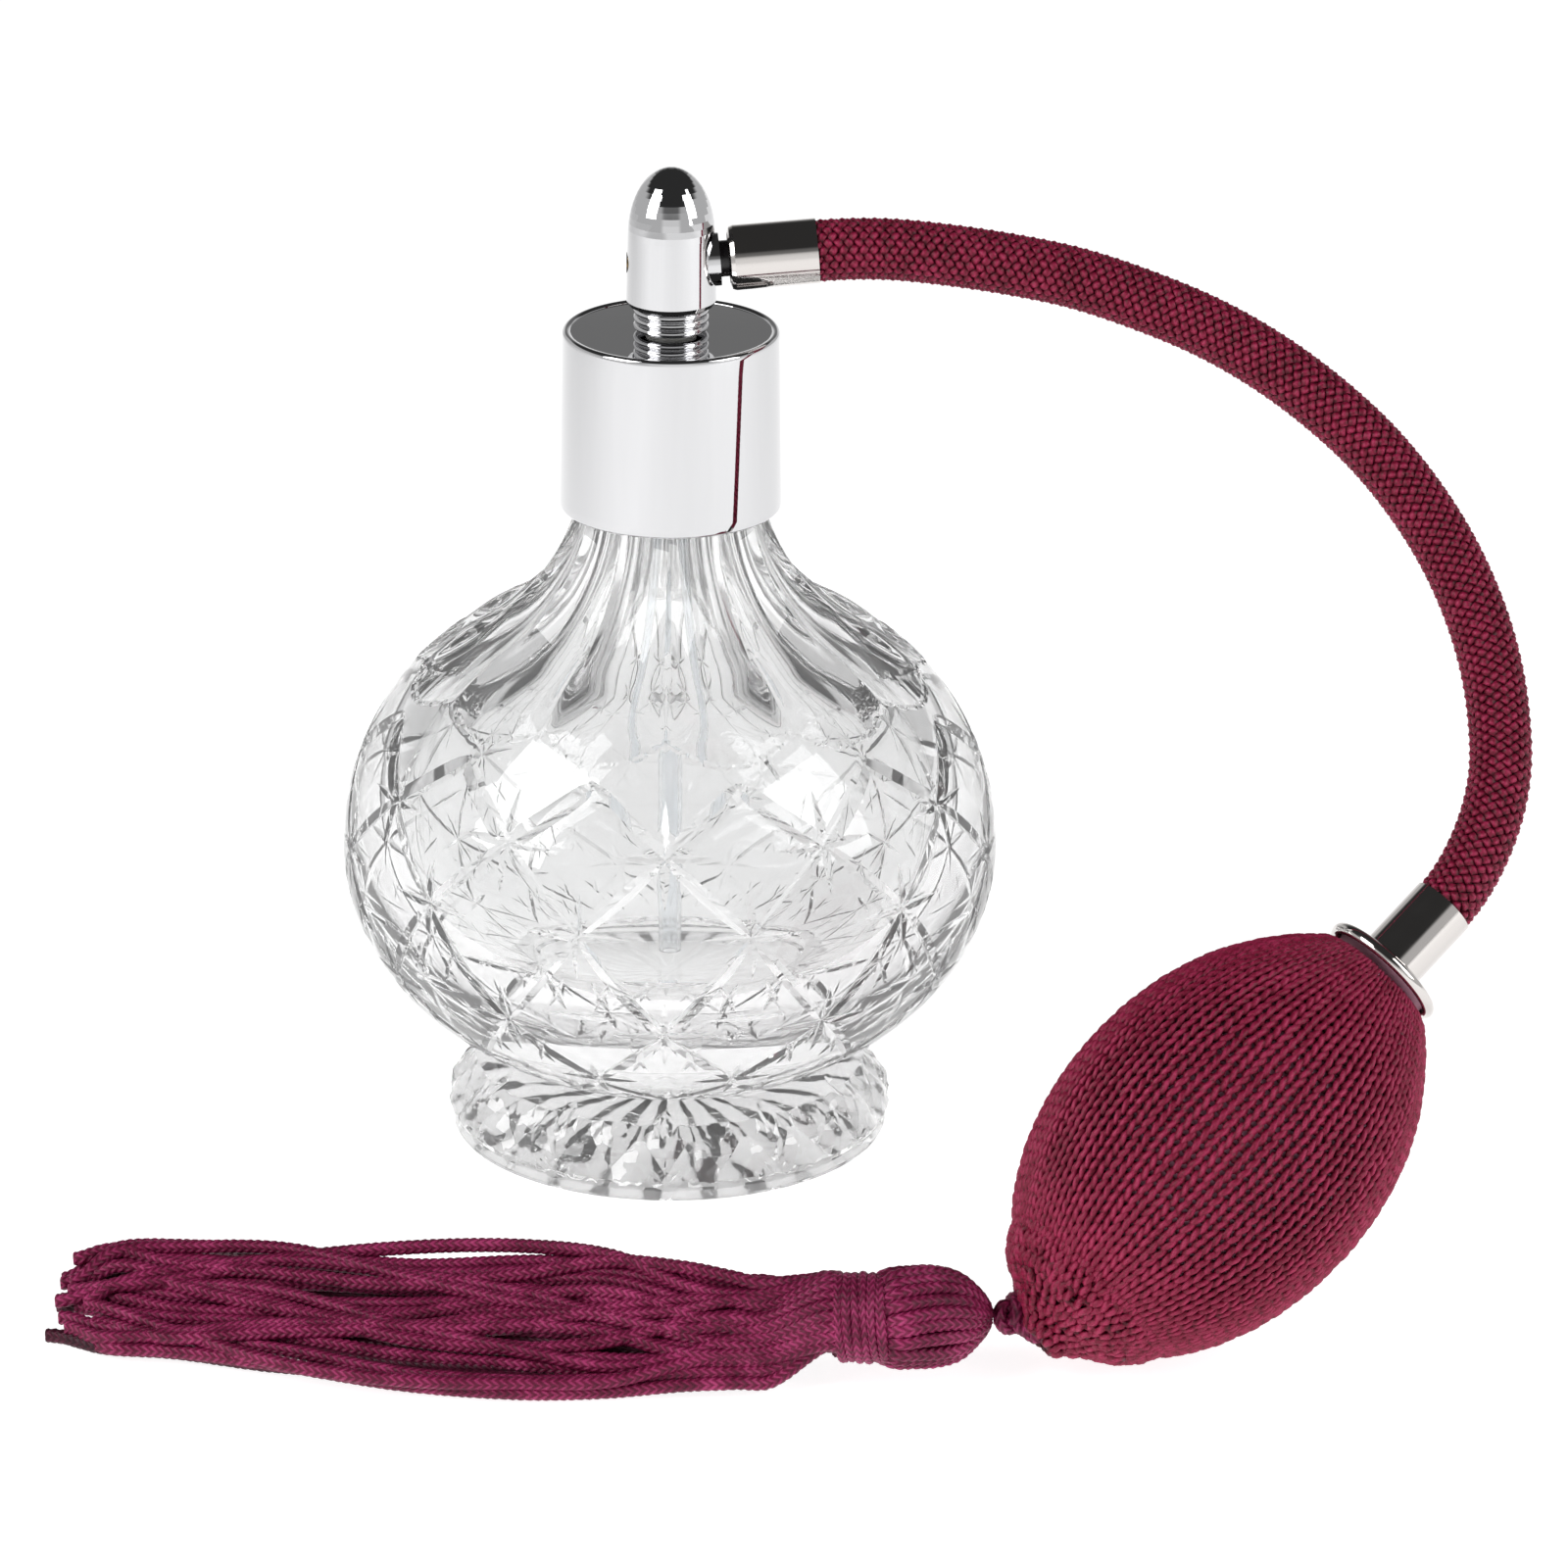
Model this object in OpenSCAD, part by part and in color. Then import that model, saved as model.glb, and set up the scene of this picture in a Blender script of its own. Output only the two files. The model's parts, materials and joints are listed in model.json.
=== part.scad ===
// Glass perfume bottle with a bulb atomizer: a footed, cut-glass bottle, a chrome
// collar and spray head, a braided air hose, a squeeze bulb in a knitted net, and a
// cord tassel. Millimetres, +Z up. The origin is the centre of the foot's underside.
// The nozzle points along -X and the hose leaves along +X.

/* [Glass] */
// Largest radius of the bowl
bowl_r = 41.4; // [38:0.1:44]
// Height of the bowl's widest line
bowl_z = 38; // [36:0.5:40]
// Thickness of the glass at the bowl's widest line
wall = 7.2; // [6:0.1:8]
// Radius of the foot's plain base ring
foot_r = 27.8; // [26:0.1:30]
// Number of cut panels round the neck and the foot
panels = 12; // [10:2:14]

/* [Collar and head] */
// Radius of the collar at its lower edge
collar_low_r = 13.82; // [13.6:0.02:14.2]
// Radius of the collar at its top edge
collar_top_r = 13.47; // [13.4:0.01:13.6]
// Height of the collar's lower edge
collar_low_z = 83; // [82.5:0.1:83.5]
// Height of the collar's top
collar_top_z = 105.8; // [105.6:0.1:106.4]
// Radius of the spray head at its lower edge
head_r = 5.6; // [5.5:0.05:5.8]
// Height of the spray and air passage
port_z = 114.3; // [114.1:0.1:114.5]
// Height of the dome's top
top_z = 126.5; // [125.5:0.1:128]

/* [Hose] */
// Outer radius of the braided hose
hose_r = 3.9; // [3.7:0.05:3.95]
// Upward lean of the hose's first ferrule, in degrees
ferrule_lean = 5.5; // [4:0.5:6]
// How far the hose hangs out from straight down, in degrees
hang = 35.2; // [35:0.1:37]

/* [Bulb] */
// Half the length of the bulb
bulb_a = 29.4; // [28:0.1:29.6]
// Radius of the bulb at its middle
bulb_b = 20.2; // [19:0.1:20.3]
// Thickness of the net and of the rubber together
bulb_wall = 2.9; // [2.4:0.1:3.4]

/* [Tassel] */
// Largest radius of the tassel's head of folded loops
tassel_head_r = 6.15; // [5.6:0.05:6.4]
// Radius of the cord binding round the tassel
binding_r = 5.5; // [5:0.1:5.8]
// Length of the tassel's skirt of cords
skirt_len = 94; // [80:1:96]

/* [Hidden] */
$fn = 96;
eps = 0.01;              // how far a cutter passes the face that it cuts

// ---- glass ----
foot_chamfer = 0.6;
bowl_low = 31.3;         // height of the bowl's lower half, an ellipse
bowl_high = 36.1;        // height of its upper half, another ellipse
flare = 26.1;            // radius of the hollow curve from shoulder to neck
flare_x = 36.9;          // that curve's centre
flare_z = 89.9;
shoulder_z = 69.2;       // where the bowl meets the flare
waist_z = 11.3;
neck_r = 10.2;           // the plain neck inside the collar
neck_foot_z = 84.6;
neck_top_z = 98;
neck_chamfer = 0.4;
bore_r = 7.6;
foot_ring_h = 2;
foot_belly = 0.7;        // how far the foot bulges past its base ring
foot_belly_z = 4.6;
foot_edge_z = 8.6;
foot_edge_r = 26;
hollow_high = 27.34;     // height of the hollow's upper ellipse
hollow_join_z = 62.7;    // where it meets the hollow's own flare
hollow_flare = 22;       // radius of that flare
hollow_flare_z = 82;     // and where it ends in the straight bore
hollow_floor_z = 17;
hollow_z = bowl_z + 2;
flute_r = 9;             // the round cutter of a neck panel
flute = 31.6;            // radius of the curve that the panel's valley follows
flute_x = 41.6;          // that curve's centre
flute_z = 90.35;
foot_cut_depth = 1;      // the flat facets round the flare of the foot
foot_cut_lean = 31;
foot_cut = [6, 18, 8];     // the block that cuts one facet
foot_cut_low = 1.6;       // how far it reaches below the foot's bulge

// ---- stem, collar ----
stem_r = 3.2;
stem_pin_r = 2.4;        // the upper end that the head turns on
stem_pin_top_z = 112;
stem_bore_r = 0.8;
flange_r = 9.6;
flange_z = 99.2;
flange_h = 2;
plug_r = 5.4;
plug_foot_z = 90;
tube_grip = 8;           // how far the dip tube goes into the plug
face_gap = 0.02;         // between two faces that rest on each other across a joint
tube_r = 1.5;            // the dip tube
tube_bore_r = 1;
tube_foot_z = 18.2;
tube_slant = 40;         // the slanted cut at its foot, in degrees
ring_r = 4.68;
ring_count = 3;
ring_groove = 0.5;       // depth of the grooves between the ribs
ring_gap = 0.12;         // and their width
ring_top_z = 108.85;
insert_r = 12.9;
insert_bore_r = 11.1;
insert_foot_z = 84.2;
insert_roof_z = 101.35;
plate_z = 104.7;
rim = 1;                 // width of the collar's rim round the recessed plate
plate_h = 0.85;
run = 0.05;              // radial clearance of a running fit

// ---- head ----
head_low_z = 108.9;
dome_z = 118;
dome_r = 5.4;
core_r = 4.6;
core_foot_z = 109.4;
seal_h = 0.85;
seal_wide = 0.4;         // radial width of the seal round the stem
pin_room = 1.2;          // space above the stem's end
passage_r = 0.6;
stem_passage_r = 0.5;
nozzle_r = 1.3;
nozzle_from = 3.4;       // where the nozzle insert starts, from the axis
nozzle_len = 2.1;
jet_r = 0.2;
boss_r = 3.3;
boss_out = 6;
nipple_r = 2.25;
nipple_from = 3;
nipple_end = 12;
nipple_bore_r = 0.9;

// ---- hose ends, along the ferrules' own axes ----
ferrule_r = 4.05;
ferrule_from = 7.1;
ferrule_to = 18.08;
socket_r = 3.2;
socket_set = 0.3;        // how far the socket sits back in the ferrule
socket_floor = 12.4;
hose_bore_r = 1.4;
hose_join_r = 3.1;       // where the rubber tube meets the braided sleeve
bulb_u = 66.7;           // the bulb's middle, across and down from the port
bulb_v = 110.5;
bulb_tilt = 137.5;       // the bulb's axis from straight up, towards its tassel end
net_thick = 0.9;
mouth_r = 3;             // the openings of the net and the rubber at both ends
ferrule2_from = -40.42;   // distances along that axis from the bulb's middle
cup_from = -31;
cup_r = 8;
valve_chamber = -24.6;
valve_seat = -20.7;
valve_end = -19.5;
valve_body_r = 4.6;
valve_chamber_r = 3.4;
valve_seat_r = 1.6;
valve_wall = 0.8;
air_hole_r = 1.2;
outlet_disc_r = 2.8;
intake_from = 21;
intake_seat = 25.6;
intake_end = 29;
intake_body_r = 4.2;
intake_chamber_r = 2.6;
intake_disc_r = 2;
disc_h = 0.9;

// The hose's route, across and down from the port in the plane that it hangs in.
hose_route = [[18, -1.7], [26, -2], [34, -1.3], [42, -0.1], [50, 1.6], [58.5, 4.5],
              [66.5, 8], [74, 12.5], [81, 18], [87, 24], [92.5, 31.5], [96.5, 39],
              [99.5, 47.5], [101, 56], [101, 65], [98.5, 73.5], [94, 80.7]];
hose_sides = 12;

// ---- tassel ----
knot = [42, -74.7, 7];
knot_r = 2.75;
neck_cord_r = 1.7;       // the twisted cord between the net's tail and the knot
tail_r = 7.5;            // where the net's gathered tail starts
tail_end = 32;
tail_end_r = 2.4;
tassel_core_r = 4.3;
past_wide = 20;          // width of the block that trims the head to the binding
head_end = [27.1, -79.4, 8.4];     // where the binding starts
binding_end = [20.2, -78.2, 8];
skirt_tip_x = binding_end[0] - skirt_len;
skirt_round = 3.5;
skirt_posts = [[2, -76.5, 12], [2, -68, 12.5], [-14, -79, 9], [-36, -78, 9],
               [-16, -62, 12.5], [-46, -60, 11.5]];     // the heap's corners and heights

function ellipse_arc(rx, rz, cz, from, to, n) =
    [for (i = [0 : n]) let (t = from + (to - from) * i / n) [rx * cos(t), cz + rz * sin(t)]];

// Angle on an ellipse of height rz at which it is h above its middle.
function at_height(h, rz) = asin(h / rz);

// Points of a hollow curve, a circle of radius r round (x, z), between two heights.
function flare_arc(x, z, r, z0, z1, n) =
    [for (i = [0 : n]) let (h = z0 + (z1 - z0) * i / n) [x - sqrt(r * r - (h - z) * (h - z)), h]];

// ---------------------------------------------------------------- glass bottle

glass_outline = concat(
    [[0, 0], [foot_r - foot_chamfer, 0], [foot_r, foot_chamfer], [foot_r, foot_ring_h],
     [foot_r + foot_belly, foot_belly_z], [foot_edge_r, foot_edge_z]],
    ellipse_arc(bowl_r, bowl_low, bowl_z, at_height(waist_z - bowl_z, bowl_low), 0, 24),
    ellipse_arc(bowl_r, bowl_high, bowl_z, 2, at_height(shoulder_z - bowl_z, bowl_high), 14),
    flare_arc(flare_x, flare_z, flare, shoulder_z + 0.4, neck_foot_z - 0.6, 12),
    [[neck_r, neck_foot_z], [neck_r, neck_top_z - neck_chamfer],
     [neck_r - neck_chamfer, neck_top_z],
     [0, neck_top_z]]);

hollow_r = bowl_r - wall;
hollow_outline = concat(
    [[0, hollow_floor_z]],
    ellipse_arc(hollow_r, hollow_z - hollow_floor_z, hollow_z, -88, 0, 24),
    ellipse_arc(hollow_r, hollow_high, hollow_z, 2,
                at_height(hollow_join_z - hollow_z, hollow_high), 12),
    flare_arc(bore_r + hollow_flare, hollow_flare_z, hollow_flare,
              hollow_join_z + 0.4, hollow_flare_z, 14),
    [[bore_r, neck_top_z + eps], [0, neck_top_z + eps]]);

// A round groove that runs down one side of the neck and out over the shoulder.
module neck_flute() {
    translate([flute_x, 0, flute_z])
        rotate([90, 0, 0])
            rotate([0, 0, 180])
                rotate_extrude(angle = 90)
                    translate([flute - flute_r, 0])
                        circle(r = flute_r, $fn = 48);
}

// A flat cut that leans in with the flare of the foot.
module foot_facet() {
    translate([foot_r + foot_belly - foot_cut_depth, 0, foot_belly_z])
        rotate([0, -foot_cut_lean, 0])
            translate([0, -foot_cut[1] / 2, -foot_cut_low])
                cube(foot_cut);
}

module glass_bottle() {
    color("lightcyan", 0.5)
        difference() {
            rotate_extrude()
                polygon(glass_outline);
            rotate_extrude()
                polygon(hollow_outline);
            for (i = [0 : panels - 1])
                rotate([0, 0, (i + 0.5) * 360 / panels])
                    neck_flute();
            for (i = [0 : panels - 1])
                rotate([0, 0, (i + 0.5) * 360 / panels])
                    foot_facet();
        }
}

// ---------------------------------------------------------------- sprayer stem

module neck_gasket() {
    color("dimgray")
        difference() {
            translate([0, 0, neck_top_z + face_gap])
                cylinder(r = flange_r, h = flange_z - neck_top_z - face_gap);
            translate([0, 0, neck_top_z - eps])
                cylinder(r = plug_r, h = flange_z - neck_top_z + 2 * eps);
        }
}

module stem_core() {
    color("whitesmoke")
        difference() {
            union() {
                translate([0, 0, plug_foot_z])
                    cylinder(r = plug_r, h = flange_z - plug_foot_z);
                translate([0, 0, flange_z])
                    cylinder(r = flange_r, h = flange_h);
                translate([0, 0, flange_z])
                    cylinder(r = stem_r, h = ring_top_z - flange_z);
                translate([0, 0, flange_z])
                    cylinder(r = stem_pin_r, h = stem_pin_top_z - flange_z);
            }
            translate([0, 0, plug_foot_z - eps])
                cylinder(r = tube_r, h = tube_grip);
            translate([0, 0, plug_foot_z])
                cylinder(r = stem_bore_r, h = stem_pin_top_z);
        }
}

module dip_tube() {
    color("azure", 0.6)
        difference() {
            translate([0, 0, tube_foot_z])
                cylinder(r = tube_r, h = plug_foot_z + tube_grip - eps - tube_foot_z);
            translate([0, 0, tube_foot_z - 1])
                cylinder(r = tube_bore_r, h = plug_foot_z);
            translate([-2 * tube_r, -2 * tube_r, tube_foot_z - 2 * tube_r])
                rotate([0, tube_slant, 0])
                    cube([4 * tube_r, 4 * tube_r, 2 * tube_r]);
        }
}

// Three rounded ribs, one above the other, with narrow grooves between them.
module ribbed_ring() {
    pitch = (ring_top_z - collar_top_z - run) / ring_count;
    color("silver")
        difference() {
            union() {
                translate([0, 0, collar_top_z + run])
                    cylinder(r = ring_r - ring_groove, h = ring_count * pitch);
                for (i = [0 : ring_count - 1])
                    translate([0, 0, collar_top_z + run + i * pitch + ring_gap / 2])
                        cylinder(r = ring_r, h = pitch - ring_gap);
            }
            translate([0, 0, collar_top_z - 1])
                cylinder(r = stem_r, h = ring_count * pitch + 2);
        }
}

// ---------------------------------------------------------------------- collar

module collar_insert() {
    color("whitesmoke")
        difference() {
            translate([0, 0, insert_foot_z])
                cylinder(r = insert_r, h = plate_z - insert_foot_z);
            translate([0, 0, insert_foot_z - eps])
                cylinder(r = insert_bore_r, h = insert_roof_z - insert_foot_z);
            translate([0, 0, insert_foot_z])
                cylinder(r = stem_r + run, h = plate_z);
        }
}

module collar_sleeve() {
    color("silver")
        rotate_extrude()
            polygon([[insert_r, collar_low_z], [collar_low_r - 0.3, collar_low_z],
                     [collar_low_r, collar_low_z + 0.3],
                     [collar_top_r, collar_top_z - 0.9],
                     [collar_top_r - 0.35, collar_top_z - 0.2],
                     [collar_top_r - 0.7, collar_top_z],
                     [collar_top_r - rim, collar_top_z - 0.1],
                     [collar_top_r - rim, plate_z], [insert_r, plate_z]]);
}

module collar_top_plate() {
    color("gainsboro")
        difference() {
            translate([0, 0, plate_z])
                cylinder(r = collar_top_r - rim, h = plate_h);
            translate([0, 0, plate_z - 1])
                cylinder(r = stem_r + run, h = plate_h + 2);
        }
}

// ------------------------------------------------------------------ spray head

// Puts +Z along the air port, which leans up a little from +X.
module along_port() {
    translate([0, 0, port_z])
        rotate([-hang, 0, 0])
            rotate([0, 90 - ferrule_lean, 0])
                children();
}

module head_shell() {
    color("silver")
        difference() {
            union() {
                rotate_extrude()
                    polygon(concat(
                        [[0, head_low_z], [head_r - 0.8, head_low_z],
                         [head_r - 0.25, head_low_z + 0.25], [head_r, head_low_z + 0.8]],
                        ellipse_arc(dome_r, top_z - dome_z, dome_z, 0, 90, 16)));
                along_port()
                    cylinder(r = boss_r, h = boss_out);
            }
            translate([0, 0, core_foot_z])
                cylinder(r = core_r, h = dome_z - core_foot_z);
            translate([0, 0, head_low_z - 1])
                cylinder(r = stem_pin_r + seal_wide, h = 3);
            along_port()
                cylinder(r = nipple_r, h = nipple_end);
            translate([0, 0, port_z])
                rotate([0, -90, 0])
                    cylinder(r = nozzle_r, h = nipple_end);
        }
}

module spray_core() {
    color("gold")
        difference() {
            translate([0, 0, core_foot_z])
                cylinder(r = core_r, h = dome_z - core_foot_z);
            translate([0, 0, core_foot_z - 1])
                cylinder(r = stem_pin_r + seal_wide, h = 1 + seal_h);
            translate([0, 0, core_foot_z - 1])
                cylinder(r = stem_pin_r + run, h = stem_pin_top_z + pin_room - core_foot_z);
            translate([0, 0, core_foot_z])
                cylinder(r = stem_passage_r, h = port_z - core_foot_z);
            translate([0, 0, port_z])
                sphere(r = nipple_bore_r, $fn = 48);
            along_port()
                cylinder(r = passage_r, h = nipple_from + 0.5);
            along_port()
                translate([0, 0, nipple_from])
                    cylinder(r = nipple_r, h = nipple_end);
            translate([0, 0, port_z])
                rotate([0, -90, 0])
                    cylinder(r = passage_r, h = nozzle_from + 0.2);
            translate([-nozzle_from, 0, port_z])
                rotate([0, -90, 0])
                    cylinder(r = nozzle_r, h = nipple_end);
        }
}

module stem_seal() {
    color("dimgray")
        difference() {
            translate([0, 0, core_foot_z])
                cylinder(r = stem_pin_r + seal_wide, h = seal_h);
            translate([0, 0, core_foot_z - 1])
                cylinder(r = stem_pin_r + run, h = 4);
        }
}

module nozzle_insert() {
    color("goldenrod")
        translate([-nozzle_from, 0, port_z])
            rotate([0, -90, 0])
                difference() {
                    cylinder(r = nozzle_r, h = nozzle_len);
                    translate([0, 0, -1])
                        cylinder(r = passage_r, h = nozzle_len + 0.3);
                    cylinder(r = jet_r, h = 2 * nozzle_len);
                }
}

module air_nipple() {
    color("dimgray")
        along_port()
            difference() {
                translate([0, 0, nipple_from])
                    cylinder(r = nipple_r, h = nipple_end - nipple_from);
                cylinder(r = nipple_bore_r, h = 2 * nipple_end);
            }
}

// ------------------------------------------------------------------------ hose

module ferrule_head() {
    color("lightgray")
        along_port()
            rotate_extrude()
                polygon([[socket_r, ferrule_from], [ferrule_r - 0.7, ferrule_from],
                         [ferrule_r - 0.2, ferrule_from + 0.2], [ferrule_r, ferrule_from + 0.7],
                         [ferrule_r, ferrule_to], [socket_r, ferrule_to]]);
}

module hose_socket() {
    color("dimgray")
        along_port()
            difference() {
                translate([0, 0, ferrule_from + socket_set])
                    cylinder(r = socket_r, h = ferrule_to - ferrule_from - socket_set);
                cylinder(r = nipple_r + run, h = socket_floor);
                cylinder(r = hose_bore_r, h = 2 * ferrule_to);
            }
}

// A point of the hose's plane, across and down from the port, in the part's frame.
function hung(p) = [p[0], -p[1] * sin(hang), port_z - p[1] * cos(hang)];

function unit(v) = v / norm(v);

// Direction of the route at point i. Its two ends follow the ferrules.
function heading(i) = let (n = len(hose_route) - 1)
    i == 0 ? [cos(ferrule_lean), -sin(ferrule_lean)]
    : i == n ? [-sin(bulb_tilt), -cos(bulb_tilt)]
    : unit(hose_route[i + 1] - hose_route[i - 1]);

// Ring of points round route point i at radius r.
function hose_ring(i, r) = let (t = heading(i))
    [for (k = [0 : hose_sides - 1]) let (a = 360 * k / hose_sides)
        hung(hose_route[i] + r * cos(a) * [t[1], -t[0]])
            + r * sin(a) * [0, -cos(hang), sin(hang)]];

// A pipe of outer radius r1 and inner radius r0 along the whole route.
module pipe(r0, r1) {
    n = len(hose_route);
    s = hose_sides;
    points = concat([for (i = [0 : n - 1]) each hose_ring(i, r1)],
                    [for (i = [0 : n - 1]) each hose_ring(i, r0)]);
    inner = n * s;
    outside = [for (i = [0 : n - 2]) for (k = [0 : s - 1])
        [i * s + k, i * s + (k + 1) % s, (i + 1) * s + (k + 1) % s, (i + 1) * s + k]];
    inside = [for (f = outside) [for (j = [3 : -1 : 0]) f[j] + inner]];
    last = (n - 1) * s;
    start = [for (k = [0 : s - 1]) [k, inner + k, inner + (k + 1) % s, (k + 1) % s]];
    end = [for (k = [0 : s - 1]) [last + k, last + (k + 1) % s,
                                  inner + last + (k + 1) % s, inner + last + k]];
    polyhedron(points, concat(outside, inside, start, end));
}

module hose_inner_tube() {
    color("dimgray")
        pipe(hose_bore_r, hose_join_r);
}

module hose_sleeve() {
    color("firebrick")
        pipe(hose_join_r, hose_r);
}

// ------------------------------------------------------------------------ bulb

// Puts the origin at the bulb's middle and +Z along its axis, towards the tassel.
module along_bulb() {
    translate([0, 0, port_z])
        rotate([-hang, 0, 0])
            translate([bulb_u, 0, -bulb_v])
                rotate([0, -bulb_tilt, 0])
                    children();
}

// A closed ring section between two ellipses, open by radius hole at both ends.
module bulb_skin(inset0, inset1, hole) {
    a0 = bulb_a - inset0;
    b0 = bulb_b - inset0;
    a1 = bulb_a - inset1;
    b1 = bulb_b - inset1;
    t0 = acos(hole / b0);
    t1 = acos(hole / b1);
    rotate_extrude()
        polygon(concat(ellipse_arc(b0, a0, 0, -t0, t0, 40),
                       ellipse_arc(b1, a1, 0, t1, -t1, 40)));
}

module net_cover() {
    color("brown")
        along_bulb()
            bulb_skin(0, net_thick, mouth_r);
}

module rubber_bulb() {
    color("darkslateblue")
        along_bulb()
            bulb_skin(net_thick, bulb_wall, mouth_r);
}

module ferrule_bulb() {
    color("lightgray")
        along_bulb()
            difference() {
                translate([0, 0, ferrule2_from])
                    cylinder(r = ferrule_r, h = cup_from - ferrule2_from);
                translate([0, 0, ferrule2_from - 1])
                    cylinder(r = hose_bore_r, h = cup_from - ferrule2_from + 2);
            }
}

module bulb_cup() {
    under = acos(cup_r / bulb_b);
    top = acos(mouth_r / bulb_b);
    color("lightgray")
        along_bulb()
            rotate_extrude()
                polygon(concat([[mouth_r, cup_from], [cup_r - 2, cup_from],
                                [cup_r - 0.5, cup_from + 1]],
                               ellipse_arc(bulb_b, bulb_a, 0, -under, -top, 8)));
}

module bulb_connector() {
    color("whitesmoke")
        along_bulb()
            difference() {
                union() {
                    translate([0, 0, cup_from])
                        cylinder(r = mouth_r, h = valve_end - cup_from);
                    translate([0, 0, valve_chamber - valve_wall])
                        cylinder(r = valve_body_r, h = valve_end - valve_chamber + valve_wall);
                }
                translate([0, 0, cup_from - 1])
                    cylinder(r = air_hole_r, h = valve_chamber - cup_from + 2);
                translate([0, 0, valve_chamber])
                    cylinder(r = valve_chamber_r, h = valve_seat - valve_chamber);
                translate([0, 0, valve_seat - 1])
                    cylinder(r = valve_seat_r, h = 5);
            }
}

module outlet_valve_disc() {
    color("black")
        along_bulb()
            translate([0, 0, valve_seat - run - disc_h])
                cylinder(r = outlet_disc_r, h = disc_h);
}

module intake_valve_body() {
    color("lightgray")
        along_bulb()
            difference() {
                union() {
                    translate([0, 0, intake_from])
                        cylinder(r = mouth_r, h = intake_end - intake_from);
                    translate([0, 0, intake_from])
                        cylinder(r = intake_body_r, h = intake_seat - intake_from);
                }
                translate([0, 0, intake_from + valve_wall])
                    cylinder(r = intake_chamber_r, h = intake_seat - intake_from - valve_wall);
                translate([0, 0, intake_from - 1])
                    cylinder(r = air_hole_r, h = intake_end - intake_from + 2);
            }
}

module intake_valve_disc() {
    color("black")
        along_bulb()
            translate([0, 0, intake_seat - run - disc_h])
                cylinder(r = intake_disc_r, h = disc_h);
}

module net_tail() {
    wide = acos(tail_r / bulb_b);
    narrow = acos(mouth_r / bulb_b);
    color("brown")
        along_bulb()
            rotate_extrude()
                polygon(concat(ellipse_arc(bulb_b, bulb_a, 0, wide, narrow, 6),
                               [[0, bulb_a], [0, tail_end], [tail_end_r, tail_end],
                                [3.2, 30.8], [5.4, 29.4]]));
}

// The route's own frame to the part's frame, for a point on the bulb's axis.
function on_bulb_axis(s) = hung([bulb_u - s * sin(bulb_tilt), bulb_v - s * cos(bulb_tilt)]);

// A round knot with the short twisted neck that joins it to the net's tail.
module tail_knot() {
    from = on_bulb_axis(tail_end);
    reach = norm(knot - from);
    color("brown")
        aim(from, knot)
            rotate_extrude()
                polygon(concat([[0, 0], [neck_cord_r, 0]],
                               ellipse_arc(knot_r, knot_r, reach, -acos(neck_cord_r / knot_r), 90, 16)));
}

// Puts +Z along the line from a to b, with the origin at a.
module aim(a, b) {
    d = b - a;
    translate(a)
        rotate([0, acos(d[2] / norm(d)), atan2(d[1], d[0])])
            children();
}

// ---------------------------------------------------------------------- tassel

head_len = norm(head_end - knot);
binding_len = norm(binding_end - head_end);

module tassel_core() {
    color("brown")
        aim(head_end, binding_end)
            cylinder(r = tassel_core_r, h = binding_len);
}

// Half-space past the binding's first face, as a block.
module past_binding() {
    aim(head_end, binding_end)
        translate([-past_wide / 2, -past_wide / 2, 0])
            cube([past_wide, past_wide, past_wide / 2]);
}

module tassel_head() {
    color("firebrick")
        difference() {
            aim(knot, head_end)
                rotate_extrude()
                    polygon([[0, knot_r + 0.3], [2, knot_r + 0.4], [4.2, knot_r + 1.8],
                             [5.7, head_len * 0.5], [tassel_head_r, head_len * 0.68],
                             [5.6, head_len * 0.9], [5.2, head_len + 3], [0, head_len + 3]]);
            past_binding();
        }
}

module tassel_binding() {
    color("firebrick")
        aim(head_end, binding_end)
            difference() {
                cylinder(r = binding_r, h = binding_len);
                translate([0, 0, -1])
                    cylinder(r = tassel_core_r, h = binding_len + 2);
            }
}

// The cords of the skirt as one closed heap that lies on the table.
module tassel_skirt() {
    color("firebrick")
        hull() {
            aim(binding_end, binding_end + [-1, 0.2, -0.1])
                translate([0, 0, 0.4])
                    cylinder(r = 4.8, h = 0.5, $fn = 32);
            for (p = skirt_posts)
                translate([p[0], p[1], 0])
                    cylinder(r = skirt_round, h = p[2], $fn = 32);
            for (y = [-71.5, -63])
                translate([skirt_tip_x + skirt_round, y, 0])
                    cylinder(r = skirt_round, h = 7, $fn = 32);
        }
}

glass_bottle();
neck_gasket();
stem_core();
dip_tube();
ribbed_ring();
collar_insert();
collar_sleeve();
collar_top_plate();
head_shell();
spray_core();
stem_seal();
nozzle_insert();
air_nipple();
ferrule_head();
hose_socket();
hose_inner_tube();
hose_sleeve();
ferrule_bulb();
bulb_connector();
bulb_cup();
rubber_bulb();
net_cover();
outlet_valve_disc();
intake_valve_body();
intake_valve_disc();
net_tail();
tail_knot();
tassel_core();
tassel_head();
tassel_binding();
tassel_skirt();
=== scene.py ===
"""Looks of a cut-glass perfume bottle with a bulb atomizer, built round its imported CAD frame.

Lengths in this script are millimetres until add_mesh() turns them into metres.
"""

import json
import math
import random

import bmesh
import bpy
import numpy as np
from mathutils import Matrix, Vector
from mathutils.geometry import delaunay_2d_cdt


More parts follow.
